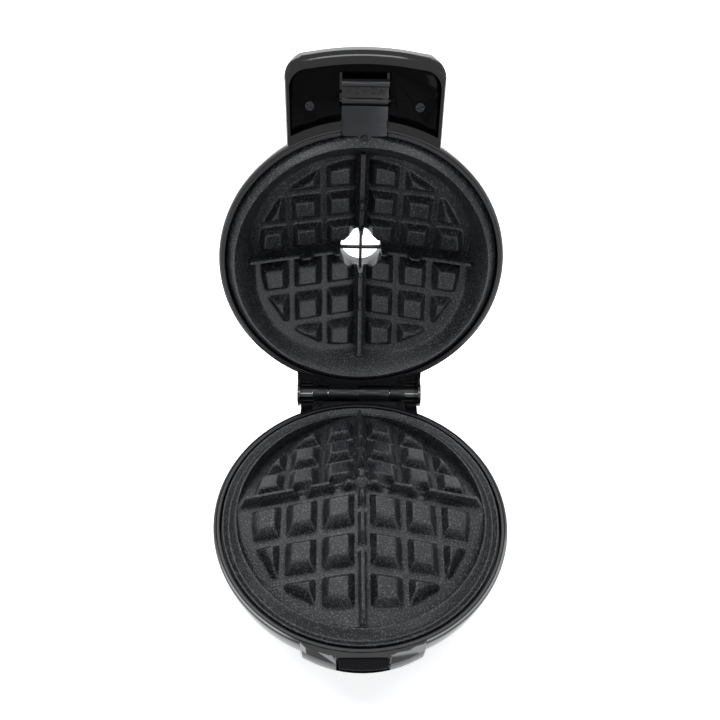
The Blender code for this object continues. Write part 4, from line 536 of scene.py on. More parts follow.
def lid_shell_bm():
    """Lid housing with the curved hood over the hinge and its two cheeks."""
    outer = smooth_side(LID_OUTER, 0.0120)
    body = new_bm(turned, outer + LID_INNER)
    half, cheek = 0.0485, 0.0505
    shoulder = [(0.1015, 0.0212), (0.0880, 0.0252)]
    hood = ([(0.0880, 0.0053), (hinge_arc(0.0090, 140, 139, 1)[0][0], 0.0053)]
            + hinge_arc(0.0090, 140, -12, 18) + hinge_arc(0.0110, -12, 90, 14) + shoulder)
    sides = ([(0.0880, 0.0025)] + hinge_arc(0.0110, 172, 450, 40) + shoulder)
    steps = [("UNION", new_bm(prism, sides, -cheek, -half, "X")),
             ("UNION", new_bm(prism, sides, half, cheek, "X"))]
    block = shaped(new_bm(prism, hood, -half - 0.0006, half + 0.0006, "X"), steps)
    block = shaped(block, [("DIFFERENCE", filled_bm(LID_OUTER, -HALF_WALL)),
                           ("DIFFERENCE", rod(RIM_RADIUS, 0.0119, -0.05, FINE_SIDES))])
    pocket = [(0.0880, 0.0130), (0.1035, 0.0130), (0.1035, 0.0152), (0.1013, 0.0178),
              (0.0880, 0.0200)]
    return shaped(body, [
        ("UNION", block),
        ("DIFFERENCE", new_bm(prism, pocket, -half, half, "X")),
        ("DIFFERENCE", slab(-BRACKET_HALF, BRACKET_HALF, HANDLE_ROOT, 0.10725, 0, DECK)),
        ("DIFFERENCE", slab(*LATCH_SLOT))])


def base_shell_bm():
    """Base housing with the column that carries the hinge."""
    outer = smooth_side(BASE_OUTER, 0.0100)
    body = new_bm(turned, outer + BASE_INNER)
    half = 0.0480
    floor = -0.0538

    def column(wall):
        swing = 0.0116 + wall
        end = math.degrees(math.acos((0.0060 - wall) / swing))
        trough = hinge_arc(swing, -121, -end, 16)
        deck = -DECK - wall
        return ([(0.0850, deck), (trough[0][0], deck)] + trough
                + [(trough[-1][0], floor + wall), (0.0600, floor + wall), (0.0600, -0.0450)])

    block = shaped(new_bm(prism, column(0), -half, half, "X"),
                   [("DIFFERENCE", filled_bm(BASE_OUTER[1:], -HALF_WALL))])
    return shaped(body, [
        ("UNION", block),
        ("DIFFERENCE", new_bm(prism, column(0.0022), -0.0458, 0.0458, "X")),
        ("DIFFERENCE", slab(-BRACKET_HALF, BRACKET_HALF, HANDLE_ROOT, 0.1235, -DECK, 0)),
        ("DIFFERENCE", slab(-0.0403, 0.0403, -0.1080, -0.0880, -0.0102, 0)),
        ("DIFFERENCE", rod(0.0063, 0.1245, 0.1125, 48, (0, 0, -0.0260), "Y"))])


def notched(bm, *boxes):
    return shaped(bm, [("DIFFERENCE", slab(*sizes)) for sizes in boxes])


def base_bezel_bm():
    outline = [(0.1037, -0.0115), (0.1037, -0.0034), (0.1033, -0.0030), (0.1016, -0.0030),
               (0.1012, -0.0034), (0.1012, -0.0095), (0.0965, -0.0095), (0.0965, -0.0115)]
    return new_bm(turned, rounded(outline, 0.0004, 3))


def lid_bezel_bm():
    outline = [(0.1037, 0.0116), (0.1037, 0.0019), (0.1033, 0.0015), (0.1016, 0.0015),
               (0.1012, 0.0019), (0.1012, 0.0096), (0.0965, 0.0096), (0.0965, 0.0116)]
    return notched(new_bm(turned, rounded(outline, 0.0004, 3)),
                   (-BRACKET_HALF, BRACKET_HALF, HANDLE_ROOT, HINGE_Y, 0, DECK),
                   (-0.0159, 0.0159, -HANDLE_REACH, -0.1003, 0, 0.0065),
                   (-0.0052, 0.0052, -HANDLE_REACH, -HANDLE_ROOT, 0, 0.0065))


def funnel_bm():
    outline = [(0.0310, 0.0696), (0.0337, 0.0696), (0.0346, 0.0663), (0.0295, 0.0663),
               (0.0183, 0.05764), (0.0160, 0.05764)]
    return new_bm(turned, rounded(outline, 0.0009, 4))


def cross_bm(bm):
    """The cross over the filling hole, at the root of the upper plate's ribs."""
    top = UPPER_APEX - SLOPE * HOLE_RADIUS
    reach, half, depth = 0.0172, 0.00115, 0.0030
    for sizes in ((-reach, reach, -half, half), (-half, half, -reach, reach)):
        bar = softened(slab(*sizes, top - depth, top), 0.0003)
        mesh = bpy.data.meshes.new("bar")
        bar.to_mesh(mesh)
        bar.free()
        bm.from_mesh(mesh)
        bpy.data.meshes.remove(mesh)
    return bm


# Handle and latch

def handle_plan(inset, front_inset, steps=14):
    half = HANDLE_HALF - inset
    reach = HANDLE_REACH - front_inset
    corner = 0.0140 - inset / 2
    straight = half - corner
    bow = 0.2000
    sag = bow - math.sqrt(bow ** 2 - straight ** 2)
    centre = corner + sag - reach
    plan = [(half, -HANDLE_ROOT)] + arc(straight, centre, corner, 0, -80, steps)
    for k in range(1, 2 * steps):
        x = straight * (1 - k / steps)
        plan.append((x, bow - reach - math.sqrt(bow ** 2 - x ** 2)))
    return plan + arc(-straight, centre, corner, -100, -180, steps) + [(-half, -HANDLE_ROOT)]


def layered(levels):
    """A closed body whose sides follow plans with equal numbers of points, low to high."""
    bm = bmesh.new()
    rings = [[bm.verts.new((x, y, z)) for x, y in plan] for plan, z in levels]
    for near, far in zip(rings, rings[1:]):
        for k in range(len(near)):
            bm.faces.new((near[k - 1], near[k], far[k], far[k - 1]))
    bm.faces.new(rings[0])
    bm.faces.new(rings[-1])
    bmesh.ops.recalc_face_normals(bm, faces=bm.faces)
    return bm


def handle_grip_bm():
    """Handle shell: rounded outside, a sloping lip along the front and a deep recess."""
    bevel = 0.0060
    turns = [math.radians(90 * k / 7) for k in range(8)]
    over = [(handle_plan(bevel * (1 - math.cos(t)), bevel * (1 - math.cos(t))),
             HANDLE_TOP - bevel + bevel * math.sin(t)) for t in turns]
    body = layered([(handle_plan(0.0010, 0.0044), 0.0020), (handle_plan(0.0004, 0.0012), 0.0034),
                    (handle_plan(0, 0), 0.0046)] + over)
    edge, lip = 0.0030, 0.0080
    hollow = layered([(handle_plan(edge, lip), 0), (handle_plan(edge, lip), HANDLE_TOP - 0.0060),
                      (handle_plan(edge + 0.0040, lip + 0.0040), HANDLE_TOP - 0.0030)])
    inside = shaped(hollow, [("DIFFERENCE", rod(SKIRT_RADIUS, 0.0220, -0.0020, FINE_SIDES))])
    places = [(x, HANDLE_SCREW_Y, 0) for x in (-HANDLE_SCREW_X, HANDLE_SCREW_X)]
    bosses = [("UNION", rod(0.0042, 0.0185, 0.0093, 32, place)) for place in places]
    bores = [("DIFFERENCE", rod(SCREW_BORE, 0.0160, 0.0080, 24, place)) for place in places]
    return shaped(body, [("DIFFERENCE", filled_bm(LID_OUTER, 0.0003)), ("DIFFERENCE", inside)]
                  + bosses + bores + [("DIFFERENCE", slab(-0.0159, 0.0159, -PIVOT_Y,
                                                          -HANDLE_ROOT, 0, 0.0065))])


def handle_underside_bm():
    edge, lip, floor = 0.0033, 0.0083, 0.0070
    pocket, eye = 0.0168, 0.0024
    body = layered([(handle_plan(edge, lip), floor), (handle_plan(edge, lip), floor + 0.0020)])
    steps = [("DIFFERENCE", rod(SKIRT_RADIUS + 0.0003, 0.02, 0, FINE_SIDES)),
             ("DIFFERENCE", slab(-pocket, pocket, -0.1397, -PIVOT_Y + eye * 2, 0, 0.02))]
    for side in (-1, 1):
        low, high = sorted((side * pocket, side * (pocket + 0.0018)))
        steps.append(("UNION", slab(low, high, -PIVOT_Y - eye, -PIVOT_Y + eye, PIVOT_Z - eye,
                                    floor + 0.0012)))
        steps.append(("DIFFERENCE", rod(SCREW_BORE, 0.02, 0, 24,
                                        (side * HANDLE_SCREW_X, HANDLE_SCREW_Y, 0))))
    pin = rod(PIN_BORE, 0.0206, -0.0206, 24, (0, -PIVOT_Y, PIVOT_Z), "X")
    return softened(shaped(body, steps + [("DIFFERENCE", pin)]), 0.0003)


def latch_lever_bm():
    """Latch with its eye, a rounded hook and raised grip marks."""
    far, lip, half, tip = 0.0140, 0.0036, 0.0012, 0.0095
    near = far - lip
    shape = [(0, -half), (far - half, -half), (far, half), (far, tip - lip / 2)]
    shape += arc(far - lip / 2, tip - lip / 2, lip / 2, 0, 180, 12)[1:]
    shape += [(near, half + 0.0010), (near - 0.0010, half), (0, half)]
    outline = [(-PIVOT_Y - a, PIVOT_Z - b) for a, b in shape]
    body = new_bm(prism, outline, -LATCH_HALF, LATCH_HALF, "X")
    centre = (0, -PIVOT_Y, PIVOT_Z)
    eye = rod(0.0024, LATCH_HALF, -LATCH_HALF, 40, centre, "X")
    body = softened(shaped(body, [("UNION", eye)]), 0.00022, 3)
    steps = [("DIFFERENCE", rod(PIN_BORE, 0.02, -0.02, 24, centre, "X"))]
    face, raised, sunk = PIVOT_Z - half, 0.0008, 0.0003
    for x, out, tall in ((-0.0104, 0.0060, 1), (0, 0.0060, 1), (0.0104, 0.0060, 1),
                         (-0.0053, 0.0084, 1), (0.0053, 0.0084, 1), (-0.0053, 0.0046, 0),
                         (0.0053, 0.0046, 0)):
        y = -PIVOT_Y - out
        if tall:
            shape = [(x - 0.0012, y + 0.0009), (x, y - 0.0011), (x + 0.0012, y + 0.0009),
                     (x + 0.0005, y + 0.0009), (x, y), (x - 0.0005, y + 0.0009)]
        else:
            shape = [(x - 0.0011, y - 0.0003), (x + 0.0011, y - 0.0003),
                     (x + 0.0011, y + 0.0003), (x - 0.0011, y + 0.0003)]
        steps.append(("UNION", new_bm(prism, shape, face - raised, face + sunk)))
    return shaped(body, steps)


def latch_bracket_bm():
    wall = 0.0015
    low, high = 0.0027, 0.00425
    start, foot, bend, end = 0.0948, 0.1008, 0.1075, 0.1195
    upper = [(-start, low + wall), (-foot, low + wall), (-bend, high + wall), (-end, high + wall)]
    lower = [(-end, high), (-bend, high), (-foot, low), (-start, low)]
    body = new_bm(prism, rounded(upper + lower, 0.0009, 5), -LATCH_HALF, LATCH_HALF, "X")
    bore = rod(SCREW_BORE, 0.02, -0.01, 24, (0, LATCH_SCREW_Y, 0))
    corners = [("DIFFERENCE", slab(low, high, -0.0999, -0.0900, 0, 0.0100))
               for low, high in ((-0.0160, -TONGUE_HALF), (TONGUE_HALF, 0.0160))]
    return softened(shaped(body, corners + [("DIFFERENCE", bore)]), 0.0002)


def foot_bm(x, y, top):
    """Round rubber foot with a shallow hollow underneath."""
    low = -0.0618
    outline = [(0.0090, top), (0.0090, low + 0.0010), (0.0082, low), (0.0058, low),
               (0.0052, low + 0.0007)]
    outline = [(0, top)] + rounded(outline, 0.0006, 4, closed=False) + [(0, low + 0.0007)]
    return new_bm(turned, outline, 64, (x, y, 0))


def lamp_bm(x):
    """Small domed lens standing in the lid."""
    low = 0.0587
    dome = [(0.0030 * math.cos(t), 0.0650 + 0.0014 * math.sin(t))
            for t in (math.radians(9 * k) for k in range(1, 10))]
    outline = [(0, low), (0.0030, low), (0.0030, 0.0650)] + dome + [(0, 0.0664)]
    return new_bm(turned, outline[::-1], 48, (x, -0.0390, 0))


# Shader groups

def new_group(name, sockets, kind="ShaderNodeTree"):
    tree = bpy.data.node_groups.new(name, kind)
    for socket, form, way, value in sockets:
        item = tree.interface.new_socket(name=socket, in_out=way, socket_type=form)
        if value is not None and way == "INPUT":
            item.default_value = value
    return tree, tree.nodes.new("NodeGroupInput"), tree.nodes.new("NodeGroupOutput")


def node(tree, kind, inputs=None, **settings):
    item = tree.nodes.new(kind)
    for key, value in settings.items():
        setattr(item, key, value)
    for key, value in (inputs or {}).items():
        socket = item.inputs[key]
        if isinstance(value, bpy.types.NodeSocket):
            tree.links.new(value, socket)
        else:
            socket.default_value = value
    return item


def mixed(tree, factor, first, second):
    """Colour mix; returns its result socket."""
    item = tree.nodes.new("ShaderNodeMix")
    item.data_type = "RGBA"
    for index, value in ((0, factor), (6, first), (7, second)):
        if isinstance(value, bpy.types.NodeSocket):
            tree.links.new(value, item.inputs[index])
        else:
            item.inputs[index].default_value = value
    return item.outputs[2]


def figure(tree, operation, first, second, third=None, clamp=False):
    item = tree.nodes.new("ShaderNodeMath")
    item.operation = operation
    item.use_clamp = clamp
    for index, value in enumerate((first, second, third)):
        if value is None:
            continue
        if isinstance(value, bpy.types.NodeSocket):
            tree.links.new(value, item.inputs[index])
        else:
            item.inputs[index].default_value = value
    return item.outputs[0]


def noise(tree, scale, detail=3.0, stretch=None):
    """Noise on the object's own coordinates, stretched along an axis if asked."""
    place = tree.nodes.new("ShaderNodeTexCoord").outputs["Object"]
    if stretch:
        place = node(tree, "ShaderNodeMapping", {"Vector": place, "Scale": stretch}).outputs[0]
    return node(tree, "ShaderNodeTexNoise", {"Vector": place, "Scale": scale,
                                             "Detail": detail}).outputs["Fac"]


def surface_group(name, colour, roughness, *amounts):
    """An empty group that turns a colour, a roughness and named amounts into a surface."""
    return new_group(name, [
        ("Color", "NodeSocketColor", "INPUT", (*colour, 1)),
        ("Roughness", "NodeSocketFloat", "INPUT", roughness)] + [
        (word, "NodeSocketColor" if isinstance(value, tuple) else "NodeSocketFloat", "INPUT",
         value) for word, value in amounts] + [
        ("Color", "NodeSocketColor", "OUTPUT", None),
        ("Roughness", "NodeSocketFloat", "OUTPUT", None),
        ("Height", "NodeSocketFloat", "OUTPUT", None)])


def moulded_group():
    """Moulded plastic: slow change of tone and shine, and a faint waviness."""
    tree, given, result = surface_group("Moulded Surface", (0.02, 0.02, 0.02), 0.2,
                                        ("Tone Change", 0.25), ("Shine Change", 0.04))
    slow = noise(tree, 14.0)
    fine = noise(tree, 240.0, 2.0)
    dark = node(tree, "ShaderNodeHueSaturation", {"Color": given.outputs["Color"],
                                                  "Value": 0.72}).outputs[0]
    amount = figure(tree, "MULTIPLY", slow, given.outputs["Tone Change"], clamp=True)
    tree.links.new(mixed(tree, amount, given.outputs["Color"], dark), result.inputs["Color"])
    centred = figure(tree, "SUBTRACT", slow, 0.5)
    scuffed = figure(tree, "SUBTRACT", fine, 0.5)
    both = figure(tree, "MULTIPLY_ADD", scuffed, 0.6, centred)
    rough = figure(tree, "MULTIPLY_ADD", both, given.outputs["Shine Change"],
                   given.outputs["Roughness"], clamp=True)
    tree.links.new(rough, result.inputs["Roughness"])
    tree.links.new(slow, result.inputs["Height"])
    return tree


def coating_group():
    """Sprayed non-stick coating: fine pale flecks and a close orange peel."""
    tree, given, result = surface_group("Speckled Coating", (0.03, 0.03, 0.03), 0.5,
                                        ("Fleck Color", (0.2, 0.2, 0.22, 1)),
                                        ("Fleck Share", 0.2), ("Grain Scale", 1500.0))
    place = tree.nodes.new("ShaderNodeTexCoord").outputs["Object"]
    grain = node(tree, "ShaderNodeTexNoise", {"Vector": place,
                                              "Scale": given.outputs["Grain Scale"],
                                              "Detail": 2.0}).outputs["Fac"]
    broad = noise(tree, 30.0)
    fleck = node(tree, "ShaderNodeMapRange", {"Value": grain, "From Min": 0.54,
                                              "From Max": 0.66}).outputs[0]
    share = figure(tree, "MULTIPLY", fleck, given.outputs["Fleck Share"])
    base = node(tree, "ShaderNodeHueSaturation",
                {"Color": given.outputs["Color"],
                 "Value": node(tree, "ShaderNodeMapRange", {"Value": broad, "To Min": 0.8,
                                                            "To Max": 1.2}).outputs[0]}).outputs[0]
    tree.links.new(mixed(tree, share, base, given.outputs["Fleck Color"]),
                   result.inputs["Color"])
    rough = figure(tree, "MULTIPLY_ADD", figure(tree, "SUBTRACT", grain, 0.5), 0.35,
                   given.outputs["Roughness"], clamp=True)
    tree.links.new(rough, result.inputs["Roughness"])
    tree.links.new(grain, result.inputs["Height"])
    return tree


def metal_group():
    """Drawn or rolled metal: long fine lines, and blotches of duller shine."""
    tree, given, result = surface_group("Rolled Metal", (0.5, 0.5, 0.5), 0.3,
                                        ("Line Strength", 0.15))
    lines = noise(tree, 60.0, 4.0, (1.0, 30.0, 30.0))
    blotch = noise(tree, 45.0)
    dull = node(tree, "ShaderNodeHueSaturation", {"Color": given.outputs["Color"],
                                                  "Value": 0.7}).outputs[0]
    amount = figure(tree, "MULTIPLY", blotch, 0.5, clamp=True)
    tree.links.new(mixed(tree, amount, given.outputs["Color"], dull), result.inputs["Color"])
    both = figure(tree, "ADD", lines, figure(tree, "SUBTRACT", blotch, 1.0))
    rough = figure(tree, "MULTIPLY_ADD", both, given.outputs["Line Strength"],
                   given.outputs["Roughness"], clamp=True)
    tree.links.new(rough, result.inputs["Roughness"])
    tree.links.new(lines, result.inputs["Height"])
    return tree


MOULDED, COATING, METAL = moulded_group(), coating_group(), metal_group()


def finish(name, group, colour, roughness, bump, distance, constants=None, **inputs):
    """A material: one shared group feeding a shader and its bump."""
    material = bpy.data.materials.new(name)
    material.use_nodes = True
    tree = material.node_tree
    shader = tree.nodes["Principled BSDF"]
    surface = tree.nodes.new("ShaderNodeGroup")
    surface.node_tree = group
    surface.inputs["Color"].default_value = (*colour, 1)
    surface.inputs["Roughness"].default_value = roughness
    for key, value in inputs.items():
        surface.inputs[key.replace("_", " ")].default_value = value
    for key, value in (constants or {}).items():
        shader.inputs[key].default_value = value
    raised = tree.nodes.new("ShaderNodeBump")
    raised.inputs["Strength"].default_value = bump
    raised.inputs["Distance"].default_value = distance
    tree.links.new(surface.outputs["Color"], shader.inputs["Base Color"])
    tree.links.new(surface.outputs["Roughness"], shader.inputs["Roughness"])
    tree.links.new(surface.outputs["Height"], raised.inputs["Height"])
    tree.links.new(raised.outputs["Normal"], shader.inputs["Normal"])
    return material


gloss = finish("gloss_black", MOULDED, (0.005, 0.005, 0.006), 0.09, 0.10, 0.00010,
               {"Specular IOR Level": 0.72})
# Painted shade: a darker copy of the gloss black with almost no reflection, put on the floor of the
# handle's recess, which is the same plastic as the housings
recess_painted_shade_gloss = finish("recess_painted_shade_gloss_black", MOULDED, (0.003, 0.003, 0.0035), 0.10, 0.10, 0.00010,
                    {"Specular IOR Level": 0.04})
matt = finish("matt_black", MOULDED, (0.003, 0.003, 0.0035), 0.50, 0.20, 0.00020,
              {"Specular IOR Level": 0.06})
# Painted shade: a darker, less reflective copy of the housings' gloss black, used on the handle to
# hold down its reflections; the handle is the same plastic
handle_painted_shade_gloss = finish("handle_painted_shade_gloss_black", MOULDED, (0.004, 0.004, 0.005), 0.09, 0.10,
                      0.00010, {"Specular IOR Level": 0.42})
satin = finish("satin_black", MOULDED, (0.008, 0.008, 0.009), 0.34, 0.20, 0.0002,
               {"Specular IOR Level": 0.40}, Shine_Change=0.12)
nonstick = finish("nonstick", COATING, (0.006, 0.0063, 0.0073), 0.38, 0.90, 0.00032,
                  {"Specular IOR Level": 0.38}, Fleck_Color=(0.24, 0.25, 0.28, 1),
                  Fleck_Share=0.40, Grain_Scale=950.0)
dark_steel = finish("dark_steel", METAL, (0.030, 0.031, 0.034), 0.34, 0.10, 0.00005,
                    {"Metallic": 0.8}, Line_Strength=0.12)
bright_steel = finish("bright_steel", METAL, (0.60, 0.60, 0.61), 0.28, 0.10, 0.00005,
                      {"Metallic": 1.0})
aluminised = finish("aluminised", METAL, (0.52, 0.53, 0.54), 0.40, 0.12, 0.00006,
                    {"Metallic": 1.0})
rubber = finish("rubber", MOULDED, (0.020, 0.020, 0.020), 0.80, 0.5, 0.0003,
                Shine_Change=0.15)
ceramic = finish("ceramic", COATING, (0.75, 0.73, 0.68), 0.60, 0.2, 0.0001,
                 Fleck_Color=(0.55, 0.52, 0.47, 1), Grain_Scale=900.0)
woven = finish("woven_sleeve", COATING, (0.55, 0.52, 0.46), 0.75, 0.6, 0.0002,
               Fleck_Color=(0.30, 0.28, 0.24, 1), Fleck_Share=0.8, Grain_Scale=700.0)
board = finish("board", MOULDED, (0.55, 0.52, 0.46), 0.5, 0.1, 0.0001)
red_lens = finish("red_lens", MOULDED, (0.55, 0.03, 0.02), 0.18, 0.05, 0.0001)
green_lens = finish("green_lens", MOULDED, (0.03, 0.40, 0.06), 0.18, 0.05, 0.0001)


# Screws by geometry nodes

def screw_group():
    """Cross-recessed screws on the points of a mesh, heads up along Z."""
    tree, given, result = new_group("Cross Head Screws", [
        ("Places", "NodeSocketGeometry", "INPUT", None),
        ("Head Radius", "NodeSocketFloat", "INPUT", 0.0037),
        ("Head Height", "NodeSocketFloat", "INPUT", 0.0016),
        ("Shank Length", "NodeSocketFloat", "INPUT", 0.0070),
        ("Recess Width", "NodeSocketFloat", "INPUT", 0.0009),
        ("Material", "NodeSocketMaterial", "INPUT", None),
        ("Screws", "NodeSocketGeometry", "OUTPUT", None)], "GeometryNodeTree")
    radius, height = given.outputs["Head Radius"], given.outputs["Head Height"]
    length = given.outputs["Shank Length"]
    head = node(tree, "GeometryNodeMeshCone", {
        "Vertices": 48, "Side Segments": 3, "Radius Bottom": radius, "Depth": height,
        "Radius Top": figure(tree, "MULTIPLY", radius, 0.8)}).outputs["Mesh"]
    shank = node(tree, "GeometryNodeMeshCylinder", {
        "Vertices": 24, "Radius": 0.00135,
        "Depth": figure(tree, "ADD", length, figure(tree, "MULTIPLY", height, 0.5))})
    shank = node(tree, "GeometryNodeTransform", {
        "Geometry": shank.outputs["Mesh"],
        "Translation": node(tree, "ShaderNodeCombineXYZ", {
            "Z": figure(tree, "MULTIPLY", length, -0.45)}).outputs[0]}).outputs[0]
    whole = node(tree, "GeometryNodeMeshBoolean", {"Self Intersection": True},
                 operation="UNION", solver="EXACT")
    tree.links.new(head, whole.inputs["Mesh 2"])
    tree.links.new(shank, whole.inputs["Mesh 2"])
    arms = []
    for x, y in ((2.2, 0.0), (0.0, 2.2)):
        wide = given.outputs["Recess Width"]
        long = figure(tree, "MULTIPLY", radius, 1.25)
        size = {"X": long if x else wide, "Y": long if y else wide, "Z": radius}
        cube = node(tree, "GeometryNodeMeshCube", {
            "Size": node(tree, "ShaderNodeCombineXYZ", size).outputs[0]}).outputs["Mesh"]
        lifted = node(tree, "ShaderNodeCombineXYZ", {
            "Z": figure(tree, "ADD", figure(tree, "MULTIPLY", radius, 0.5),
                        figure(tree, "MULTIPLY", height, 0.45))}).outputs[0]
        arms.append(node(tree, "GeometryNodeTransform", {"Geometry": cube,
                                                         "Translation": lifted}).outputs[0])
    cut = node(tree, "GeometryNodeMeshBoolean", {"Self Intersection": True},
               operation="DIFFERENCE", solver="EXACT")
    tree.links.new(whole.outputs["Mesh"], cut.inputs["Mesh 1"])
    for arm in arms:
        tree.links.new(arm, cut.inputs["Mesh 2"])
    turn = node(tree, "GeometryNodeInputNamedAttribute", {"Name": "turn"},
                data_type="FLOAT_VECTOR").outputs[0]
    clean = node(tree, "GeometryNodeMergeByDistance", {"Geometry": cut.outputs["Mesh"],
                                                       "Distance": 0.000005})
    spread = node(tree, "GeometryNodeInstanceOnPoints", {
        "Points": given.outputs["Places"], "Instance": clean.outputs[0], "Rotation": turn})
    solid = node(tree, "GeometryNodeRealizeInstances", {"Geometry": spread.outputs[0]})
    painted = node(tree, "GeometryNodeSetMaterial", {
        "Geometry": solid.outputs[0], "Material": given.outputs["Material"]})
    tree.links.new(painted.outputs[0], result.inputs["Screws"])
    return tree


SCREWS = screw_group()


def set_input(modifier, name, value):
    for item in modifier.node_group.interface.items_tree:
        if item.item_type == "SOCKET" and item.in_out == "INPUT" and item.name == name:
            modifier[item.identifier] = value
            return


def screws(name, body, places, material, slot, nodes, **sizes):
    """One mesh of screws; each place is (x, y, z, heads up, turn in degrees)."""
    mesh = bpy.data.meshes.new(name)
    mesh.from_pydata([place[:3] for place in places], [], [])
    turns = mesh.attributes.new("turn", "FLOAT_VECTOR", "POINT")
    for k, (_, _, _, up, turn) in enumerate(places):
        turns.data[k].vector = (0 if up else math.pi, 0, math.radians(turn))
    item = bpy.data.objects.new(name + "_places", mesh)
    bpy.context.scene.collection.objects.link(item)
    modifier = item.modifiers.new("screws", "NODES")
    modifier.node_group = SCREWS
    set_input(modifier, "Material", material)
    for key, value in sizes.items():
        set_input(modifier, key.replace("_", " "), value)
    item.update_tag()
    bpy.context.view_layer.update()
    seen = item.evaluated_get(bpy.context.evaluated_depsgraph_get())
    result = bpy.data.meshes.new_from_object(seen)
    bpy.data.objects.remove(item)
    return finished_mesh(name, result, body, material, slot, *nodes, sharp_deg=30)


# The object

finished("lid_housing", lid_shell_bm(), "lid", gloss, "gloss_black", "lid_shell", sharp_deg=32)
finished("base_housing", base_shell_bm(), "base", gloss, "gloss_black", "base_shell",
         sharp_deg=32)
finished("lid_rim", lid_bezel_bm(), "lid", satin, "satin_black", "lid_bezel")
finished("base_rim", base_bezel_bm(), "base", satin, "satin_black", "base_bezel")
finished("lower_cooking_plate", lower_plate_bm(), "base", nonstick, "nonstick", "lower_plate",
         sharp_deg=60)
finished("upper_cooking_plate", cross_bm(upper_plate_bm()), "lid", nonstick, "nonstick",
         "upper_plate", sharp_deg=60)
finished("funnel", funnel_bm(), "lid", satin, "satin_black", "filling_funnel")
finished("handle", handle_grip_bm(), "lid", handle_painted_shade_gloss, "gloss_black", "handle_grip", sharp_deg=30)
finished("handle_floor", handle_underside_bm(), "lid", recess_painted_shade_gloss, "gloss_black",
         "handle_underside", sharp_deg=30)
finished("latch", latch_lever_bm(), "latch", satin, "satin_black", "latch_lever")
finished("latch_strip", latch_bracket_bm(), "lid", dark_steel, "dark_steel", "latch_bracket",
         sharp_deg=50)
finished("power_light", lamp_bm(-0.0090), "lid", red_lens, "red_lens", "power_lamp")
finished("ready_light", lamp_bm(0.0090), "lid", green_lens, "green_lens", "ready_lamp")
foot_places = [(-0.0420, -0.0420, -0.0576), (0.0420, -0.0420, -0.0576),
               (-0.0370, 0.1040, -0.0541), (0.0370, 0.1040, -0.0541)]
for number, place in enumerate(foot_places, 1):
    finished(f"rubber_foot_{number}", foot_bm(*place), "base", rubber, "rubber",
             f"foot_{number}")

screws("lid_hinge_screws", "lid", [(-0.0333, 0.1015, 0.0029, False, 20),
                                   (0.0333, 0.1015, 0.0029, False, 64)],
       dark_steel, "dark_steel", ["hinge_screw_upper_1", "hinge_screw_upper_2"])
screws("base_hinge_screws", "base", [(-0.0333, 0.1026, -0.0029, True, 12),
                                     (0.0333, 0.1026, -0.0029, True, 47)],
       dark_steel, "dark_steel", ["hinge_screw_lower_1", "hinge_screw_lower_2"],
       Head_Radius=0.0024)
screws("handle_screws", "lid", [(-HANDLE_SCREW_X, HANDLE_SCREW_Y, 0.0069, False, 35),
                                (HANDLE_SCREW_X, HANDLE_SCREW_Y, 0.0069, False, 71)],
       dark_steel, "dark_steel", ["handle_screw_1", "handle_screw_2"])
screws("latch_strip_screw", "lid", [(0, LATCH_SCREW_Y, 0.0026, False, 28)], dark_steel, "dark_steel",
       ["latch_screw"], Head_Radius=0.0024, Shank_Length=0.0052)
screws("cover_screws", "base",
       [(0.0680 * math.cos(math.radians(90 * k)), 0.0680 * math.sin(math.radians(90 * k)),
         -0.0574, False, 31 * k) for k in range(4)],
       bright_steel, "bright_steel", [f"cover_screw_{k}" for k in range(1, 5)],
       Head_Radius=0.0024, Head_Height=0.0012)


# Nodes that keep the model's own shape

def tidy_group(name, angle_deg):
    """Joins split corners, then smooths every edge flatter than an angle."""
    tree, given, result = new_group(name, [
        ("Geometry", "NodeSocketGeometry", "INPUT", None),
        ("Join Distance", "NodeSocketFloat", "INPUT", 0.000002),
        ("Smooth Angle", "NodeSocketFloat", "INPUT", math.radians(angle_deg)),
        ("Geometry", "NodeSocketGeometry", "OUTPUT", None)], "GeometryNodeTree")
    joined = node(tree, "GeometryNodeMergeByDistance", {
        "Geometry": given.outputs["Geometry"], "Distance": given.outputs["Join Distance"]})
    smooth = node(tree, "GeometryNodeSetShadeSmooth", {"Geometry": joined.outputs[0],
                                                       "Shade Smooth": True}, domain="FACE")
    angle = tree.nodes.new("GeometryNodeInputMeshEdgeAngle").outputs["Unsigned Angle"]
    flat = figure(tree, "LESS_THAN", angle, given.outputs["Smooth Angle"])
    edges = node(tree, "GeometryNodeSetShadeSmooth", {"Geometry": smooth.outputs[0],
                                                      "Shade Smooth": flat}, domain="EDGE")
    tree.links.new(edges.outputs[0], result.inputs["Geometry"])
    return tree


TIDY = tidy_group("Tidy Shading", 32)


def dress(material, bevel, *names):
    """Give nodes a material, joined corners, softly broken edges and smooth shading."""
    for name in names:
        item = frame["nodes"][name]
        for place in item.material_slots:
            place.material = material
        first = item.modifiers.new("join", "NODES")
        first.node_group = TIDY
        if bevel:
            edge = item.modifiers.new("edges", "BEVEL")
            edge.width = bevel
            edge.segments = 2
            edge.limit_method = "ANGLE"
            edge.angle_limit = math.radians(40)
            last = item.modifiers.new("shading", "NODES")
            last.node_group = TIDY


dress(gloss, 0.0004, "front_panel")
dress(matt, 0.0003, "latch_catch")
dress(satin, 0.0003, "bottom_cover")
dress(rubber, 0.0003, "cord_gland")
dress(dark_steel, 0.0002, "hinge_bracket_lower", "hinge_bracket_upper")
dress(dark_steel, 0, "latch_pin")
dress(bright_steel, 0, "hinge_pin", "lower_element", "upper_element",
      "reflector_screw_1", "reflector_screw_2", "reflector_screw_3")
dress(aluminised, 0, "lower_reflector", "upper_reflector")
dress(ceramic, 0.0003, "thermostat", "terminal_block")
dress(woven, 0, "thermal_fuse", "lead_1", "lead_2")
dress(board, 0.0002, "lamp_board")


# Camera, floor and light

CAMERA_PITCH_DEG, CAMERA_YAW_DEG, CAMERA_ROLL_DEG = 44.78, 2.054, 1.753
CAMERA_PLACE = (-0.01456, -0.29616, 0.44533)
CAMERA_LENS = 36.25


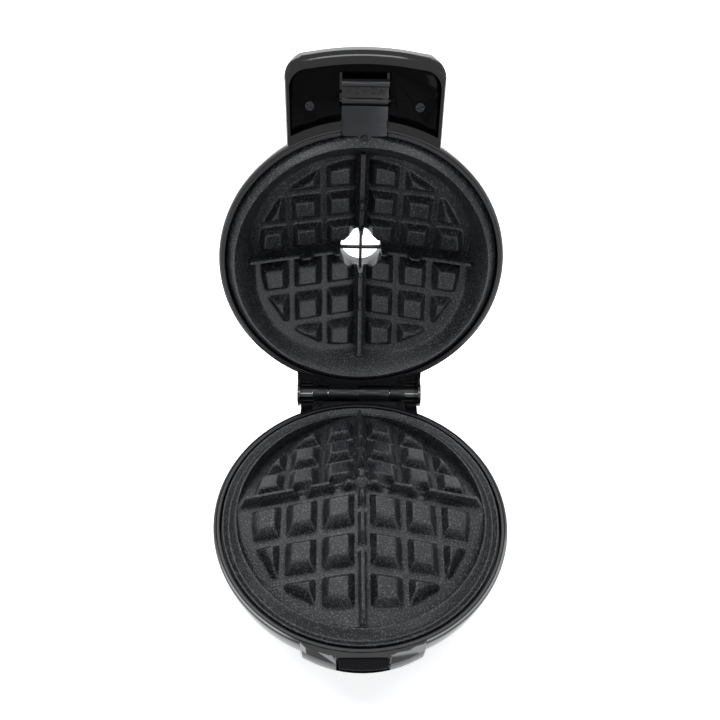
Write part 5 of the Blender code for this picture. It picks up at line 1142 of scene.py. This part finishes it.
def camera_matrix():
    """The photograph's angle, from its pitch, yaw and roll."""
    pitch, yaw, roll = (math.radians(turn) for turn in (CAMERA_PITCH_DEG, CAMERA_YAW_DEG,
                                                        CAMERA_ROLL_DEG))
    ahead = Vector((math.sin(yaw) * math.cos(pitch), math.cos(yaw) * math.cos(pitch),
                    -math.sin(pitch)))
    right = Vector((math.cos(yaw), -math.sin(yaw), 0))
    up = right.cross(ahead)
    across = math.cos(roll) * right + math.sin(roll) * up
    upward = math.cos(roll) * up - math.sin(roll) * right
    turn = Matrix((across, upward, -ahead)).transposed().to_4x4()
    place = BASE_PLACE @ Vector(CAMERA_PLACE)
    return Matrix.Translation(place) @ turn


camera_data = bpy.data.cameras.new("camera")
camera_data.sensor_width = 36
camera_data.lens = CAMERA_LENS
camera_data.clip_start = 0.01
camera = bpy.data.objects.new("camera", camera_data)
camera.matrix_world = camera_matrix()
bpy.context.scene.collection.objects.link(camera)
bpy.context.scene.camera = camera

WHITE_RAYS = ("Is Camera Ray", "Is Glossy Ray", "Is Transmission Ray")


def seen_directly(tree):
    """1 where a ray comes from the camera, a gloss or a glass."""
    light_path = tree.nodes.new("ShaderNodeLightPath")
    total = light_path.outputs[WHITE_RAYS[0]]
    for name in WHITE_RAYS[1:]:
        total = figure(tree, "MAXIMUM", total, light_path.outputs[name])
    return total


world = bpy.data.worlds.new("studio")
world.use_nodes = True
bpy.context.scene.world = world
background = world.node_tree.nodes["Background"]
background.inputs["Color"].default_value = (1, 1, 1, 1)
world.node_tree.links.new(
    node(world.node_tree, "ShaderNodeMapRange", {"Value": seen_directly(world.node_tree),
                                                 "To Min": 0.07, "To Max": 1.0}).outputs[0],
    background.inputs["Strength"])

FLOOR_REACH = 4.0
floor_mesh = bpy.data.meshes.new("floor")
floor_mesh.from_pydata([(x * FLOOR_REACH, y * FLOOR_REACH, 0)
                        for x, y in ((-1, -1), (1, -1), (1, 1), (-1, 1))], [], [(0, 1, 2, 3)])
floor = bpy.data.objects.new("floor", floor_mesh)
bpy.context.scene.collection.objects.link(floor)
floor_finish = bpy.data.materials.new("floor")
floor_finish.use_nodes = True
tree = floor_finish.node_tree
floor_shader = tree.nodes["Principled BSDF"]
floor_shader.inputs["Roughness"].default_value = 0.9
floor_shader.inputs["Specular IOR Level"].default_value = 0.0
tree.links.new(mixed(tree, seen_directly(tree), (0.30, 0.30, 0.30, 1), (0.95, 0.95, 0.95, 1)),
               floor_shader.inputs["Base Color"])
floor_shader.inputs["Emission Color"].default_value = (1, 1, 1, 1)
tree.links.new(node(tree, "ShaderNodeMapRange", {"Value": seen_directly(tree), "To Min": 0.0,
                                                 "To Max": 0.66}).outputs[0],
               floor_shader.inputs["Emission Strength"])
floor_mesh.materials.append(floor_finish)


def softbox(name, place, target, width, height, radiance, colour=(0.94, 0.97, 1.0)):
    light = bpy.data.lights.new(name, "AREA")
    light.shape = "RECTANGLE"
    light.size = width
    light.size_y = height
    light.energy = radiance * math.pi * width * height
    light.color = colour
    item = bpy.data.objects.new(name, light)
    item.location = place
    item.rotation_euler = (Vector(target) - Vector(place)).to_track_quat("-Z", "Y").to_euler()
    item.visible_camera = False
    bpy.context.scene.collection.objects.link(item)


softbox("rear_softbox", (0.0, 1.45, 0.90), (0, 0.1, 0.25), 1.2, 0.7, 7.0)
softbox("top_left_softbox", (-0.62, 0.32, 1.40), (0, 0, 0.05), 0.9, 0.7, 6.0)
softbox("top_right_softbox", (0.62, 0.32, 1.40), (0, 0, 0.05), 0.9, 0.7, 4.2)
softbox("front_right_softbox", (0.85, -1.20, 0.45), (0, 0.1, 0.2), 0.6, 0.5, 4.0)
softbox("left_strip", (-1.2, -0.55, 0.45), (0, 0, 0.1), 0.25, 0.8, 4.0)
softbox("front_top_softbox", (0.0, -0.76, 1.24), (0, 0.14, 0.31), 0.50, 0.24, 7.0)

view = bpy.context.scene.view_settings
view.view_transform = "Standard"
bpy.context.view_layer.update()
